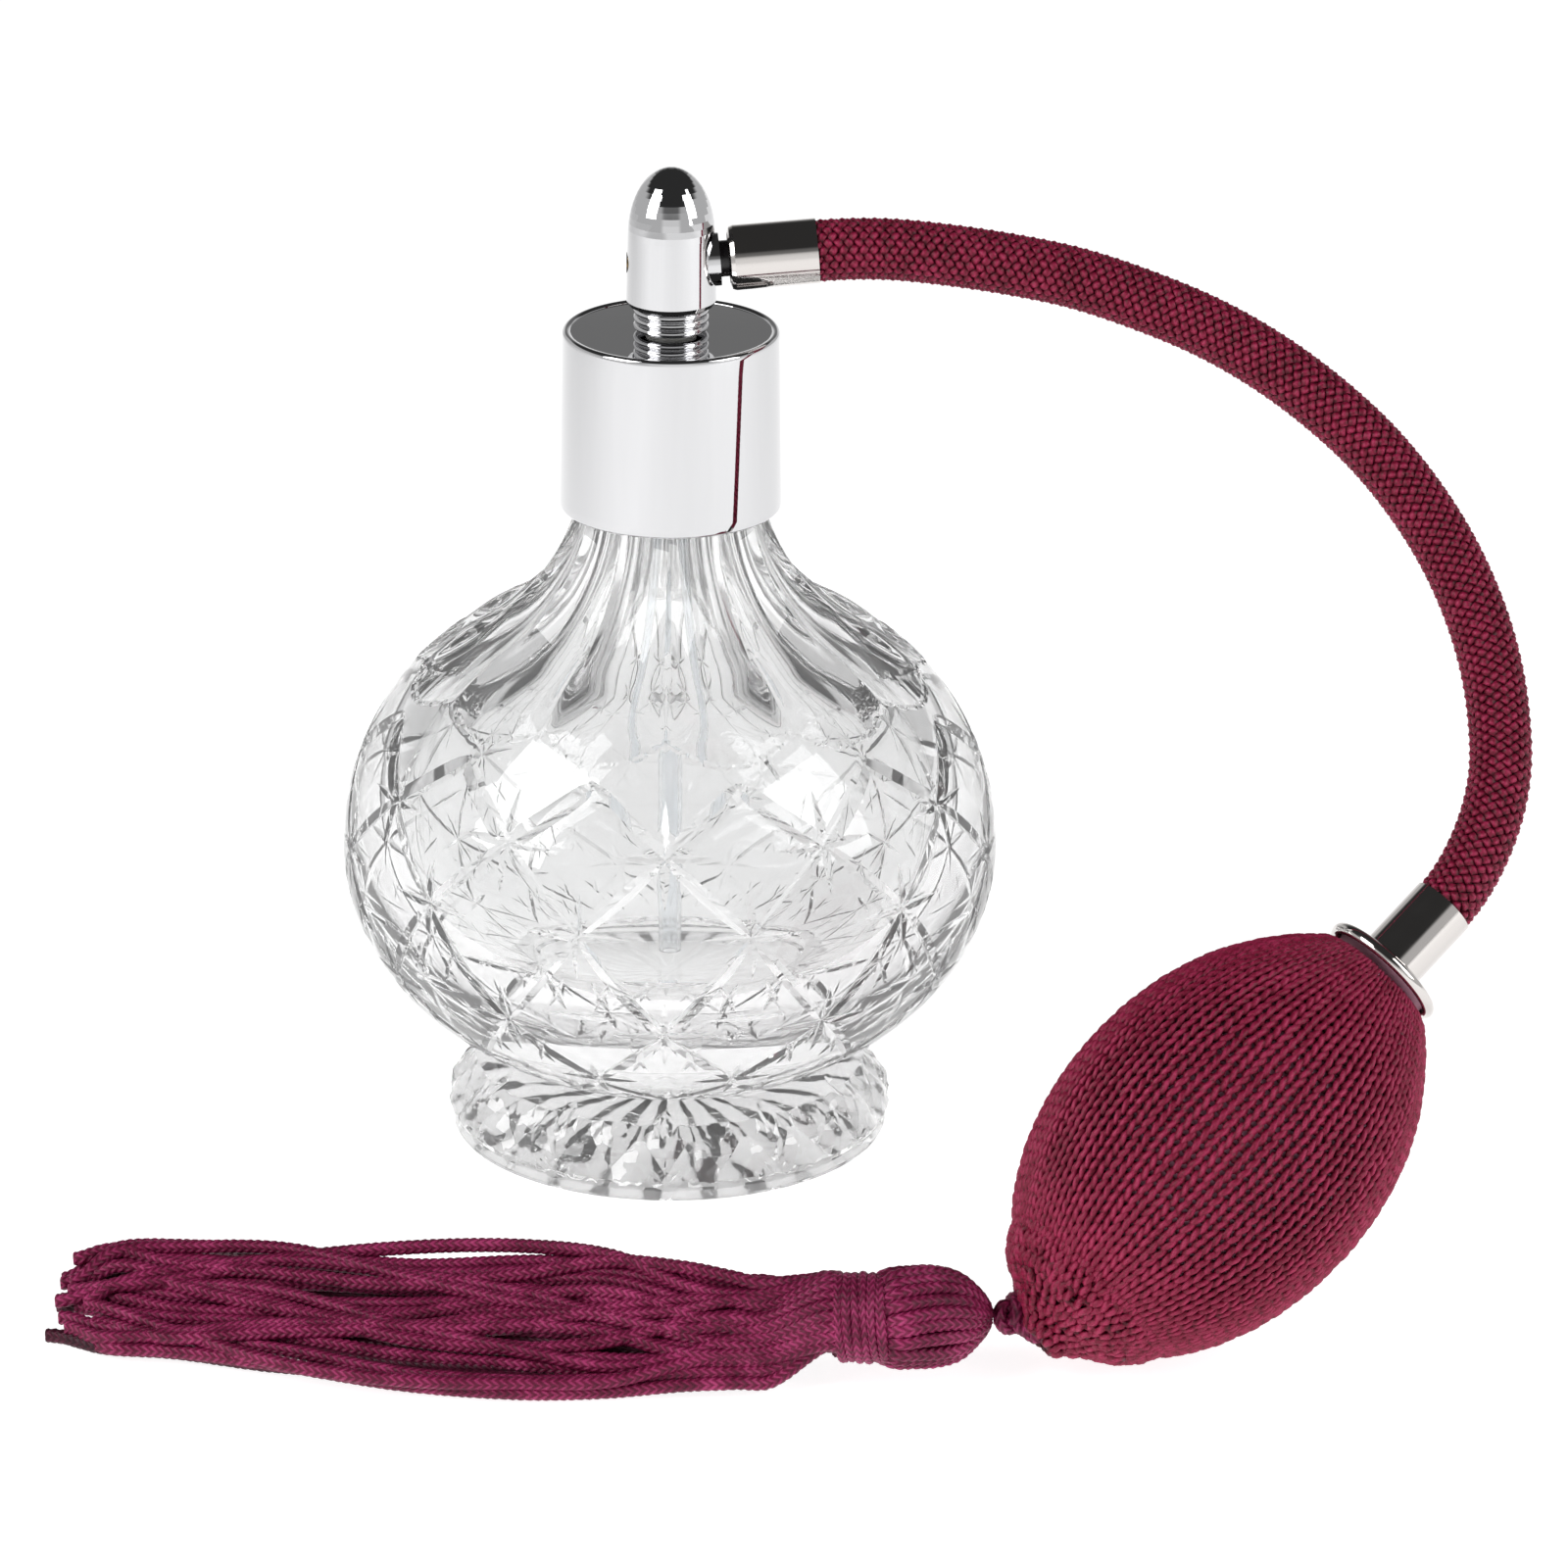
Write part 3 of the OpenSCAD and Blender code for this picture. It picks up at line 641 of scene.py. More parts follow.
# Places along a cord of the head as a share of its length, and its distance from the axis there.
HEAD_SHAPE = [(0.0, 0.9), (0.10, 2.6), (0.30, 4.6), (0.52, 5.3), (0.75, 5.3), (0.93, 5.1), (1.12, 3.6)]
BINDING_WRAPS = 6.5
BINDING_R = 4.75


def make_tassel_head(core_cloth):
    """Cords folded over the neck cord, running lengthwise round a core to the binding. The core is a darker
    copy of the cords' colour, painted shade for the gaps between them.
    """
    axis = unit(HEAD_END - knot)
    sides = basis(axis, UP)
    length = float(np.linalg.norm(HEAD_END - knot))
    draw = random.Random(11)
    heap = Heap()
    for k in range(HEAD_CORDS):
        angle = (k + draw.uniform(-0.1, 0.1)) * TURN / HEAD_CORDS
        bend = 0.1 + draw.uniform(-0.07, 0.07)
        sink = draw.uniform(-0.25, 0.1)
        points = []
        for share, radius in HEAD_SHAPE:
            turn = angle + bend * math.sin(share * math.pi)
            points.append(knot + axis * (HEAD_TIP + share * (length - HEAD_TIP + 0.6))
                          + (radius + sink * math.sin(share * math.pi)) * ring_of(turn, *sides))
        line = smooth_path(points, points[1] - points[0], axis, 0.3)
        knit_cord(heap, line, 0.95, 20, k * 0.41)
    heap.settle("tassel_head_cords", "tassel", "tassel_cord", "tassel_head")
    outline = [(0.01, HEAD_TIP), (1.6, HEAD_TIP + 0.2), (3.6, HEAD_TIP + 2.2), (4.6, length * 0.55),
               (4.9, length * 0.75), (3.9, length - 0.5), (0.01, length - 0.5)]
    lathe("tassel_head_core", outline, 60, "tassel", "tassel_cord", material=core_cloth,
          centre=knot, axis=axis, segments=48, closed=False)


def make_binding():
    """One cord wound round the tassel, with slanted and slightly uneven turns."""
    axis = unit(BINDING_END - HEAD_END)
    length = float(np.linalg.norm(BINDING_END - HEAD_END))
    heap = Heap()
    angle = np.linspace(0, BINDING_WRAPS * TURN, round(BINDING_WRAPS * 110))
    ripple = 0.12 * np.sin(angle * 2.3 + 1)
    climb = -0.4 + (length - 0.4) * angle / angle[-1]
    line = (HEAD_END + (climb + 0.5 * np.sin(angle) + ripple * 0.5)[:, None] * axis
            + (BINDING_R + 0.1 * np.sin(angle * 1.7))[:, None] * ring_of(angle, *basis(axis, UP)))
    knit_cord(heap, evenly(line, 0.28), 0.74, 16)
    heap.settle("tassel_wraps", "tassel", "tassel_cord", "tassel_binding")


def make_knot():
    """The twisted cord from the net's tail and the knot that the tassel hangs on."""
    start = bulb_middle + NET_END * bulb_axis
    axis = unit(knot - start)
    sides = basis(axis, UP)
    reach = float(np.linalg.norm(knot - start))
    heap = Heap()
    for k in range(3):
        t = np.linspace(0, 1, 60)
        turn = (t * 1.1 + k / 3) * TURN
        line = start + (t * reach)[:, None] * axis + 0.86 * ring_of(turn, *sides)
        knit_cord(heap, evenly(line, 0.25), 0.86, 16, k * 0.3)
    t = np.linspace(0, TURN, 240)
    ring = 1.35 + 0.5 * np.cos(3 * t)
    line = knot + ring[:, None] * ring_of(2 * t, *sides) + np.sin(3 * t)[:, None] * axis
    knit_cord(heap, evenly(line, 0.25), 0.92, 16)
    heap.settle("knot_cord", "hose_and_bulb", "tassel_cord", "tail_knot")


# ---- the bulb

NET_COLUMNS = 48               # loops round the bulb
NET_COURSES = 38               # rows of loops along it
LOOP_SAMPLES = 14
LOOP_CREST = 2.5               # length of yarn from one leg of a loop to the next
YARN_R = 0.45
LOOP_BULGE = 0.16              # how far a loop leans over its neighbours, as a share of its column
LOOP_REACH = 0.78              # half a loop's height, as a share of the course spacing
LOOP_DEPTH = 0.26              # how far the legs stand out from the heads
TAIL_COURSES = 12
# The gathered tail's outline: distance along the bulb's axis and radius.
TAIL_SHAPE = [(22.5, 11.5), (23.9, 11.1), (25.3, 10.2), (26.9, 8.7), (28.3, 6.5), (29.4, 4.6),
              (30.4, 3.2), (31.8, 2.4)]


def meridian(start_r, end_r, inset, steps=400):
    """Distances along the bulb's axis and radii of its outline, from the cup's side to the tail's side.

    The end towards the cup is drawn out a little.
    """
    half, wide = BULB_HALF - inset, BULB_R - inset
    t = np.linspace(-math.acos(start_r / wide), math.acos(end_r / wide), steps)
    place = half * np.sin(t)
    return np.stack([place - 1.4 * np.clip((-place - 20) / 7, 0, 1) ** 2, wide * np.cos(t)], 1)


def knit_round(heap, outline, at, spacing, columns, yarn_r, draw, rough):
    """One course of knitted loops round the bulb, this far along the outline that it lies on."""
    length = distances(outline)
    t = np.arange(columns * LOOP_SAMPLES) * TURN / LOOP_SAMPLES
    jitter = np.array([[draw.gauss(0, rough) for _ in range(3)] for _ in range(columns)])
    weight = np.arange(columns * LOOP_SAMPLES) / LOOP_SAMPLES
    push = np.stack([np.interp(weight, np.arange(columns + 1), np.append(jitter[:, c], jitter[0, c]))
                     for c in range(3)], 1)
    turn = (t / TURN + LOOP_BULGE * np.sin(2 * t)) / columns * TURN
    place = at - LOOP_REACH * spacing * np.cos(t) + push[:, 0]
    lift = -LOOP_DEPTH * np.cos(2 * t) + push[:, 2] * 0.5
    h, r = (np.interp(place, length, column)[:, None] for column in outline.T)
    slope_h, slope_r = (np.interp(place, length, np.gradient(column, length))[:, None]
                        for column in outline.T)
    ring = ring_of(turn + push[:, 1] / np.maximum(r[:, 0], 3), *basis(bulb_axis, UP))
    normal = unit(slope_h * ring - slope_r * bulb_axis)
    line = bulb_middle + h * bulb_axis + r * ring + lift[:, None] * normal
    heading = unit(np.roll(line, -1, 0) - np.roll(line, 1, 0))
    out = unit(normal - (normal * heading).sum(1)[:, None] * heading)
    size = yarn_r * (1 + 0.06 * np.sin(np.arange(len(line)) * 0.9))
    marks = (2 * t / TURN + 0.5) * LOOP_CREST
    heap.add(*sweep(line, out, np.cross(heading, out), size[:, None], 5, closed=True, marks=marks))


def make_net():
    """The knitted net in two halves, and the denser gathered stitches at its tail."""
    draw = random.Random(3)
    outline = meridian(7.6, 9.6, 0.74)
    total = path_length(outline)
    spacing = total / NET_COURSES
    halves = {"net_upper": range(NET_COURSES // 2), "net_lower": range(NET_COURSES // 2, NET_COURSES)}
    pieces = []
    for name, courses in halves.items():
        heap = Heap()
        for i in courses:
            at = (i + 0.5) * spacing
            thin = min(YARN_R, 0.25 * TURN * radius_at(outline, at / total) / NET_COLUMNS + 0.05)
            knit_round(heap, outline, at, spacing, NET_COLUMNS, thin, draw, 0.07)
        pieces.append(heap.settle(name, "hose_and_bulb", "net_yarn",
                                  *(["net_cover"] if name == "net_upper" else [])))
    heap = Heap()
    tail = gathered_outline()
    total = path_length(tail)
    for i in range(TAIL_COURSES):
        share = (i + 0.5) / TAIL_COURSES
        columns = max(7, round(TURN * radius_at(tail, share) / (2.05 + 0.4 * share)))
        knit_round(heap, tail, share * total, total / TAIL_COURSES, columns,
                   0.46 + 0.06 * min(1, share * 3), draw, 0.2 + 0.14 * min(1, share * 2))
    return pieces + [heap.settle("net_gathers", "hose_and_bulb", "net_yarn")]


def radius_at(outline, share):
    """The radius of an outline, this share of its points along it."""
    return float(np.interp(share, np.linspace(0, 1, len(outline)), outline[:, 1]))


def gathered_outline():
    """The outline of the net's tail, drawn in to the twisted cord."""
    corners = np.array(TAIL_SHAPE)
    at = np.linspace(0, len(corners) - 1, 200)
    return np.stack([np.interp(at, range(len(corners)), column) for column in corners.T], 1) + [0.1, 0]


def make_rubber(backing):
    """The rubber bulb under the net, and the dark cloth that backs the gathered tail; its darkness is
    painted shade for the gaps between the gathered stitches.
    """
    outer = meridian(3.05, 3.05, NET_THICK + 0.35, 60)
    inner = meridian(3.05, 3.05, NET_THICK + RUBBER_THICK, 60)[::-1]
    outline = [(r, h) for h, r in np.vstack([outer, inner])]
    bulb = lathe("rubber_shell", outline, 50, "hose_and_bulb", "bulb_rubber", "rubber_bulb",
                 centre=bulb_middle, axis=bulb_axis)
    tail = gathered_outline()[::8]
    outline = [(0.01, tail[0][0])] + [(r - 0.55, h) for h, r in tail] + [(0.01, 32)]
    core = lathe("tail_core", outline, 60, "hose_and_bulb", "net_yarn", "net_tail", material=backing,
                 centre=bulb_middle, axis=bulb_axis, segments=48, closed=False)
    return [bulb, core]


def make_cup():
    """The cup between ferrule and bulb: a low bell with a rolled lip that the net meets."""
    outline = [(2.0, -31.0), (4.5, -31.0), (5.3, -30.85), (6.1, -30.55), (6.9, -30.3)]
    outline += arc(7.15, -29.45, 0.85, -90, 90, 12) + [(6.6, -28.3), (2.0, -28.0)]
    lathe("cup_bell", outline, 40, "hose_and_bulb", "nickel", "bulb_cup", centre=bulb_middle,
          axis=bulb_axis)


# ---- the glass

PANELS = 12
HALF = 180 / PANELS            # degrees in the half panel that the whole pattern is made from
COLUMNS = 12                   # of plain points across the half panel
# The underside's edge and the foot's side, as (radius, height).
FOOT_SHAPE = [(27.1, 0.0), (27.62, 0.18), (27.8, 0.6), (27.8, 2.0), (28.2, 2.8), (28.45, 3.8), (28.45, 4.9),
              (28.1, 6.2), (27.3, 7.5), (26.2, 8.5), (24.8, 9.3), (23.2, 10.1), (22.2, 10.8)]
BOWL = (41.4, 38.0, 31.3, 36.1)          # radius, height of the widest line, lower and upper half heights
FLARE = (36.9, 89.9, 26.1)     # the hollow curve to the neck: its centre and radius
VALLEY = (41.6, 90.35, 31.6)   # the curve that a neck panel's valley follows
WAIST_Z = 11.3
SHOULDER_Z = 69.2
NECK_R, NECK_Z, RIM_Z = 10.2, 84.6, 98.0
BORE_R = 7.6
HOLLOW_R, HOLLOW_Z, HOLLOW_FLOOR, HOLLOW_HIGH = 34.2, 40.0, 17.0, 27.34
HOLLOW_JOIN_Z, HOLLOW_FLARE, HOLLOW_FLARE_Z = 62.7, 22.0, 82.0    # where it opens out below the bore
STEEP = 0.5                    # slope of a cut's sides
FLUTE_FOOT = (60.0, 62.6)      # heights where a neck panel's edge is lowest and highest
PER_DEGREE = math.radians(36)  # length on the glass of one degree, as its points are spread
CLEAR_OF_CUTS = 0.42           # plain points keep this far from a cut's lines
THREAD_START, THREAD_PITCH, THREAD_TURNS = 87.0, 3.2, 1.6
THREAD_HIGH, THREAD_HALF = 0.75, 0.85    # how far its bead stands out, and half its width


def glass_outline():
    """Radius and height of the outside, from the underside's edge to the neck, as close points."""
    radius, low_z, low_h, high_h = BOWL
    start = math.asin((WAIST_Z - low_z) / low_h)
    end = math.asin((SHOULDER_Z - low_z) / high_h)
    bowl = (oval(radius, low_z, low_h, np.linspace(start, 0, 60))
            + oval(radius, low_z, high_h, np.linspace(0.03, end, 50)))
    flare = hollow_curve(*FLARE, np.linspace(SHOULDER_Z + 0.4, NECK_Z - 0.6, 40))
    return np.array(FOOT_SHAPE + bowl + flare + [(NECK_R, NECK_Z)])


def oval(radius, z, high, angles):
    """Points of an upright ellipse about the bottle's axis at height z."""
    return [(radius * math.cos(t), z + high * math.sin(t)) for t in angles]


def hollow_curve(x, z, radius, heights):
    """Points of the side nearest the bottle's axis of a circle about (x, z)."""
    return [(x - math.sqrt(radius**2 - (h - z) ** 2), h) for h in heights]


outline = glass_outline()
outline_at = distances(outline)


def at_height(z):
    """Distance along the outline at height z."""
    return float(np.interp(z, outline[:, 1], outline_at))


def on_outline(s):
    """Radius and height at this distance along the outline."""
    return np.interp(s, outline_at, outline[:, 0]), np.interp(s, outline_at, outline[:, 1])


class Cut:
    """A straight V cut of the wheel from one (degrees, height) point to another, pointed at both ends."""

    def __init__(self, start, end, half_width, blunt=2.6, steep=STEEP):
        self.ends, self.steep = (start, end), steep
        a = np.array([start[0], at_height(start[1])])
        b = np.array([end[0], at_height(end[1])])
        self.half_width, self.blunt = half_width, blunt
        self.scale = math.radians(1) * float(on_outline((a[1] + b[1]) / 2)[0])
        self.a = a * [self.scale, 1]
        self.b = b * [self.scale, 1]
        self.length = float(np.linalg.norm(self.b - self.a))
        self.along = unit(self.b - self.a)
        self.across = np.array([-self.along[1], self.along[0]])

    def width(self, share):
        return self.half_width * np.clip(1 - np.abs(2 * share - 1) ** self.blunt, 0, None)

    def depth(self, angle, s):
        """How deep the cut is at these places, as a number up to 0."""
        p = np.stack([angle * self.scale, s], -1) - self.a
        share = p @ self.along / self.length
        gap = np.abs(p @ self.across)
        inside = (share > 0) & (share < 1)
        return np.where(inside, -self.steep * np.clip(self.width(share) - gap, 0, None), 0)

    def lines(self):
        """The cut's bottom and its two edges, as polylines of (degrees, distance along the outline)."""
        count = max(6, round(self.length / 1.1))
        share = np.linspace(0, 1, count + 1)
        middle = self.a + share[:, None] * (self.b - self.a)
        for side in (0, 1, -1):
            line = middle + (side * self.width(share))[:, None] * self.across
            yield line / [self.scale, 1]

    def moved(self, sign, shift):
        """The same cut mirrored, if sign is -1, and turned by shift degrees."""
        (a, za), (b, zb) = self.ends
        ends = (sign * a + shift, za), (sign * b + shift, zb)
        return Cut(*ends, self.half_width, self.blunt, self.steep)


def pattern():
    """The cuts of one half panel: 0 degrees is a ridge of the neck and HALF the middle of a neck panel."""
    star_a, star_b, star_c, star_d = (0, 50.6), (HALF, 40.7), (0, 27.2), (HALF, 18.2)
    peak = (HALF, 58.0)
    cuts = [Cut((-1.6, 49.6), (peak[0] + 0.9, peak[1] + 0.3), 1.25, 6)]      # the border of the diamonds
    # Four rows of stars, and the edges of the diamonds between them.
    for (angle, z), long, tall in ((star_a, 9.2, 6.2), (star_b, 9.0, 5.6), (star_c, 9.6, 5.2),
                                   (star_d, 9.0, 3.6)):
        cuts.append(Cut((angle - long, z), (angle + long, z), 0.62))
        cuts.append(Cut((angle, z - tall), (angle, z + tall), 0.62))
    for a, b in ((star_a, star_b), (star_b, star_c), (star_c, star_d)):
        lean = 0.1
        start = (a[0] + (a[0] - b[0]) * lean, a[1] + (a[1] - b[1]) * lean)
        end = (b[0] + (b[0] - a[0]) * lean, b[1] + (b[1] - a[1]) * lean)
        cuts.append(Cut(start, end, 0.85))
    # The ridge between two neck panels, and the scalloped lower edge of a panel.
    cuts.append(Cut((0, 81), (0, FLUTE_FOOT[1] - 1.2), 0.42, 10))
    steps = [(HALF * (1 - t), FLUTE_FOOT[0] + (FLUTE_FOOT[1] - FLUTE_FOOT[0]) * t * t)
             for t in (-0.25, 0, 0.25, 0.5, 0.75, 1.03)]
    steps[0] = (HALF * 1.25, steps[2][1])
    cuts += [Cut(a, b, 0.5, 60) for a, b in zip(steps[:-1], steps[1:])]
    # Bars across the diamonds, the lowest edge, the foot's facets, and the stars' and edges' small rays.
    cuts += [Cut((-7.5, 35.2), (7.5, 35.2), 0.5),
             Cut((HALF - 6.5, 29.6), (HALF + 6.5, 29.6), 0.45),
             Cut((HALF + 0.8, 17.4), (-0.8, 12.4), 0.7),
             Cut((-1.2, 2.6), (HALF / 2 + 0.8, 9.2), 2.2, 12, 0.3),
             Cut((HALF / 2 - 0.8, 9.2), (HALF + 1.2, 2.6), 2.2, 12, 0.3),
             Cut((0, 6.6), (0, 10.4), 0.8, 12)]
    for angle, z, tall in ((0, 27.2, 3.4), (HALF, 18.2, 2.4)):
        for lean in (2.4, -2.4):
            cuts.append(Cut((angle - lean, z - tall), (angle + lean, z + tall), 0.36))
    for angle, low, high in ((5, 20.5, 25), (HALF - 4, 30.5, 35), (5, 13.5, 16.5), (HALF - 5, 12.4, 14.6)):
        for lean in (1.6, -1.6):
            cuts.append(Cut((angle - lean, low), (angle + lean, high), 0.4))
    return cuts


def all_cuts():
    """Every cut that reaches into the half panel, with the mirrored ones from its neighbours."""
    made, seen = [], set()
    for cut in pattern():
        for sign, shift in ((1, 0), (-1, 0), (-1, 2 * HALF), (1, 2 * HALF), (1, -2 * HALF)):
            copy = cut.moved(sign, shift)
            low, high = sorted(e[0] for e in copy.ends)
            key = tuple(sorted((round(e[0], 3), round(e[1], 3)) for e in copy.ends))
            if high < -2 or low > HALF + 2 or key in seen:
                continue
            seen.add(key)
            made.append(copy)
    return made


def flute_depth(angle, s):
    """The hollow panels of the neck, deepest in their middle at HALF degrees, up to 0."""
    x, z = on_outline(s)
    valley = np.clip(VALLEY[2] - np.hypot(VALLEY[0] - x, VALLEY[1] - z), 0, None)
    low, high = FLUTE_FOOT
    reach = np.sqrt(np.clip((z - low) / (high - low), 0, 1)) * HALF
    share = np.abs(angle - HALF) / np.maximum(reach, 1e-6)
    shape = np.clip(1 - share**2, 0, None)
    fade = np.clip((NECK_Z - z) / 1.5, 0, 1)
    return np.where(z > low, -valley * shape * fade, 0)


def facet_depth(angle, s):
    """Flat facets round the foot, one to a panel."""
    r, z = on_outline(s)
    bite = np.interp(z, (2.4, 4.2, 8.0, 9.4), (0, 0.95, 0.95, 0))
    return -np.clip(bite - r * (1 - np.cos(np.radians(angle - HALF))), 0, None)


def clipped(line):
    """The parts of a polyline inside the half panel, cut exactly at its sides."""
    part, parts = [], []
    for p, q in zip(line[:-1], line[1:]):
        inside = [0 <= e[0] <= HALF for e in (p, q)]
        if inside[0] and not part:
            part.append(p)
        if inside[0] != inside[1]:
            edge = 0 if min(p[0], q[0]) < 0 else HALF
            share = (edge - p[0]) / (q[0] - p[0])
            part.append(p + share * (q - p))
            part[-1][0] = edge
            if inside[0]:
                parts.append(part)
                part = []
        if inside[1]:
            part.append(q)
    if part:
        parts.append(part)
    return [np.array(x) for x in parts if len(x) > 1]


def half_panel():
    """Points (degrees, distance along the outline), triangles and depths of the half panel.

    Its edges lie on the cuts' bottoms and sides, so these stay sharp.
    """
    cuts = all_cuts()
    lines = [part for cut in cuts for line in cut.lines() for part in clipped(line)]
    low, high = FLUTE_FOOT
    share = np.linspace(0, 1, 22)
    rim = np.array([(HALF - HALF * t, at_height(low + (high - low) * t * t)) for t in share])
    lines.append(rim)
    top = outline_at[-1]
    rows = sorted(set(np.round(np.concatenate([
        outline_at[:14], np.arange(outline_at[13], at_height(66), 1.15),
        np.arange(at_height(66), top - 0.6, 1.3), [top]]), 4)))
    near = np.vstack([evenly(np.column_stack([x * [PER_DEGREE, 1], np.zeros(len(x))]), 0.3)[:, :2]
                      for x in lines])
    points, edges = [], []
    for i, s in enumerate(rows):
        for k in range(COLUMNS + 1):
            angle = HALF * k / COLUMNS
            if i % 2 and 0 < k < COLUMNS and 0 < i < len(rows) - 1:
                angle += HALF / COLUMNS / 2 * (k < COLUMNS - 1)
            gap = np.hypot(near[:, 0] - angle * PER_DEGREE, near[:, 1] - s).min()
            if i in (0, len(rows) - 1) or gap > CLEAR_OF_CUTS:
                points.append((angle, s))
    for part in lines:
        start = len(points)
        points += [tuple(p) for p in part]
        edges += [(start + j, start + j + 1) for j in range(len(part) - 1)]
    border = [(0, 0), (HALF, 0), (HALF, top), (0, top)]
    start = len(points)
    points += border
    edges += [(start + j, start + (j + 1) % 4) for j in range(4)]
    flat = [Vector((p[0] * PER_DEGREE, p[1])) for p in points]
    out = delaunay_2d_cdt(flat, edges, [], 0, 1e-4)
    made = np.array([(v[0] / PER_DEGREE, v[1]) for v in out[0]])
    made[:, 0] = np.where(np.abs(made[:, 0]) < 1e-3, 0, made[:, 0])
    made[:, 0] = np.where(np.abs(made[:, 0] - HALF) < 1e-3, HALF, made[:, 0])
    triangles = np.array([t for t in out[2] if len(t) == 3])
    depth = np.min([cut.depth(made[:, 0], made[:, 1]) for cut in cuts], axis=0)
    depth = depth + flute_depth(made[:, 0], made[:, 1]) + facet_depth(made[:, 0], made[:, 1])
    return made, triangles, depth


def thread_height(angle, z):
    """The screw thread moulded on the neck, about one and a half turns of a rounded bead."""
    total = np.zeros_like(angle)
    for turn in range(3):
        share = turn + angle / TURN
        off = (z - THREAD_START - THREAD_PITCH * share) / THREAD_HALF
        bead = np.clip(1 - off**2, 0, None) ** 0.7
        ends = np.clip(np.minimum(share, THREAD_TURNS - share) * 8, 0, 1)
        total = np.maximum(total, THREAD_HIGH * bead * ends)
    return total


def make_glass():
    """The bottle: a half panel mirrored and repeated round, then the neck, the hollow and the underside."""
    flat, triangles, depth = half_panel()
    radius, height = on_outline(flat[:, 1])
    slope_r = np.interp(flat[:, 1], outline_at, np.gradient(outline[:, 0], outline_at))
    slope_z = np.interp(flat[:, 1], outline_at, np.gradient(outline[:, 1], outline_at))
    size = np.hypot(slope_r, slope_z)
    radius = radius + depth * slope_z / size
    height = height - depth * slope_r / size
    height = np.where(flat[:, 1] < 1e-6, 0, height)
    points, faces, count = [], [], 0
    for panel in range(PANELS):
        for sign in (1, -1):
            angle = np.radians(-90 + panel * 2 * HALF + sign * flat[:, 0])
            points.append(np.stack([radius * np.cos(angle), radius * np.sin(angle), height], 1))
            turned = triangles if sign > 0 else triangles[:, ::-1]
            faces += (turned + count).tolist()
            count += len(flat)
    around = PANELS * 2 * COLUMNS
    turn = np.radians(-90 + np.arange(around) * HALF / COLUMNS)

    def rings(rows):
        """Rows of (radius, height), either of which may vary round the ring."""
        nonlocal count
        for r, z in rows:
            r, z = np.broadcast_to(r, around), np.broadcast_to(z, around)
            points.append(np.stack([r * np.cos(turn), r * np.sin(turn), z], 1))
        faces.extend((ring_faces(len(rows), around) + count).tolist())
        count += len(rows) * around

    spin = turn - turn[0]
    neck = [(NECK_R, NECK_Z)]
    neck += [(NECK_R + thread_height(spin, np.full(around, z)), z) for z in np.linspace(85, 96.4, 36)]
    neck += [(NECK_R, 97.2)] + arc(NECK_R - 0.8, RIM_Z - 0.8, 0.8, 0, 90, 6)
    inner_top = arc(BORE_R + 0.5, RIM_Z - 0.5, 0.5, 90, 180, 5)
    bore = [(BORE_R, z) for z in np.linspace(RIM_Z - 1, HOLLOW_FLARE_Z + 1.2, 8)]
    throat = math.asin((HOLLOW_JOIN_Z - HOLLOW_Z) / HOLLOW_HIGH)
    hollow = (hollow_curve(BORE_R + HOLLOW_FLARE, HOLLOW_FLARE_Z, HOLLOW_FLARE,
                           np.linspace(HOLLOW_FLARE_Z, HOLLOW_JOIN_Z + 0.4, 36))
              + oval(HOLLOW_R, HOLLOW_Z, HOLLOW_HIGH, np.linspace(throat, 0.02, 40))
              + oval(HOLLOW_R, HOLLOW_Z, HOLLOW_FLOOR - HOLLOW_Z, np.linspace(0, math.pi / 2 - 0.03, 44)))
    rings(neck + inner_top + bore + hollow + [(0.02, HOLLOW_FLOOR)])
    rings([(27.1, 0.0), (25.6, 0.0), (25.0, 0.25), (24.2, 0.6), (20.0, 0.75), (12.0, 0.95), (5.0, 1.05),
           (0.02, 1.1)])
    bottle = add_mesh("cut_glass_bottle", np.vstack(points), faces)
    tidy(bottle, 20, 0.004)
    settle(bottle, "bottle", "clear_glass", "glass_bottle")


# ---- the metals


def make_collar():
    """The collar's sleeve with a rolled lower edge and a bevelled rim."""
    low_r, top_r, low_z, top_z, inner = 13.82, 13.47, 83.0, 105.8, 12.9
    outline = [(inner, low_z + 0.2), (inner + 0.15, low_z + 0.04), (low_r - 0.3, low_z)]
    outline += arc(low_r - 0.3, low_z + 0.3, 0.3, -60, 0, 5)
    outline += [(low_r + (top_r - low_r) * t, low_z + 0.3 + (top_z - low_z - 1.1) * t)
                for t in np.linspace(0.05, 1, 12)]
    outline += arc(top_r - 0.5, top_z - 0.5, 0.5, 15, 90, 7)
    outline += [(top_r - 0.85, top_z - 0.05), (top_r - 1, top_z - 0.2), (top_r - 1, 104.7),
                (inner, 104.7)]
    lathe("collar_shell", outline, 40, "collar", "chrome", "collar_sleeve", segments=160)


def make_ribs():
    """Three rounded ribs under the head."""
    low, high, ribs, radius = 105.85, 108.85, 3, 4.68
    pitch = (high - low) / ribs
    outline = [(3.25, low)]
    for i in range(ribs):
        middle = low + (i + 0.5) * pitch
        outline += [(radius - 0.42 + 0.42 * math.cos(a), middle + 0.47 * math.sin(a))
                    for a in np.radians(np.linspace(-88, 88, 13))]
    outline += [(3.25, high)]
    lathe("ribbed_collet", outline, 50, "sprayer", "chrome", "ribbed_ring")


def dress_cad():
    """Gives each CAD node that stays in sight its finished material."""
    for node, piece in frame["nodes"].items():
        if piece.hide_render:
            continue
        slot = piece.data.materials[0].name if piece.data.materials else ""
        piece.data.materials.clear()
        piece.data.materials.append(materials[slot.split(".")[0]])


# ---- the stage


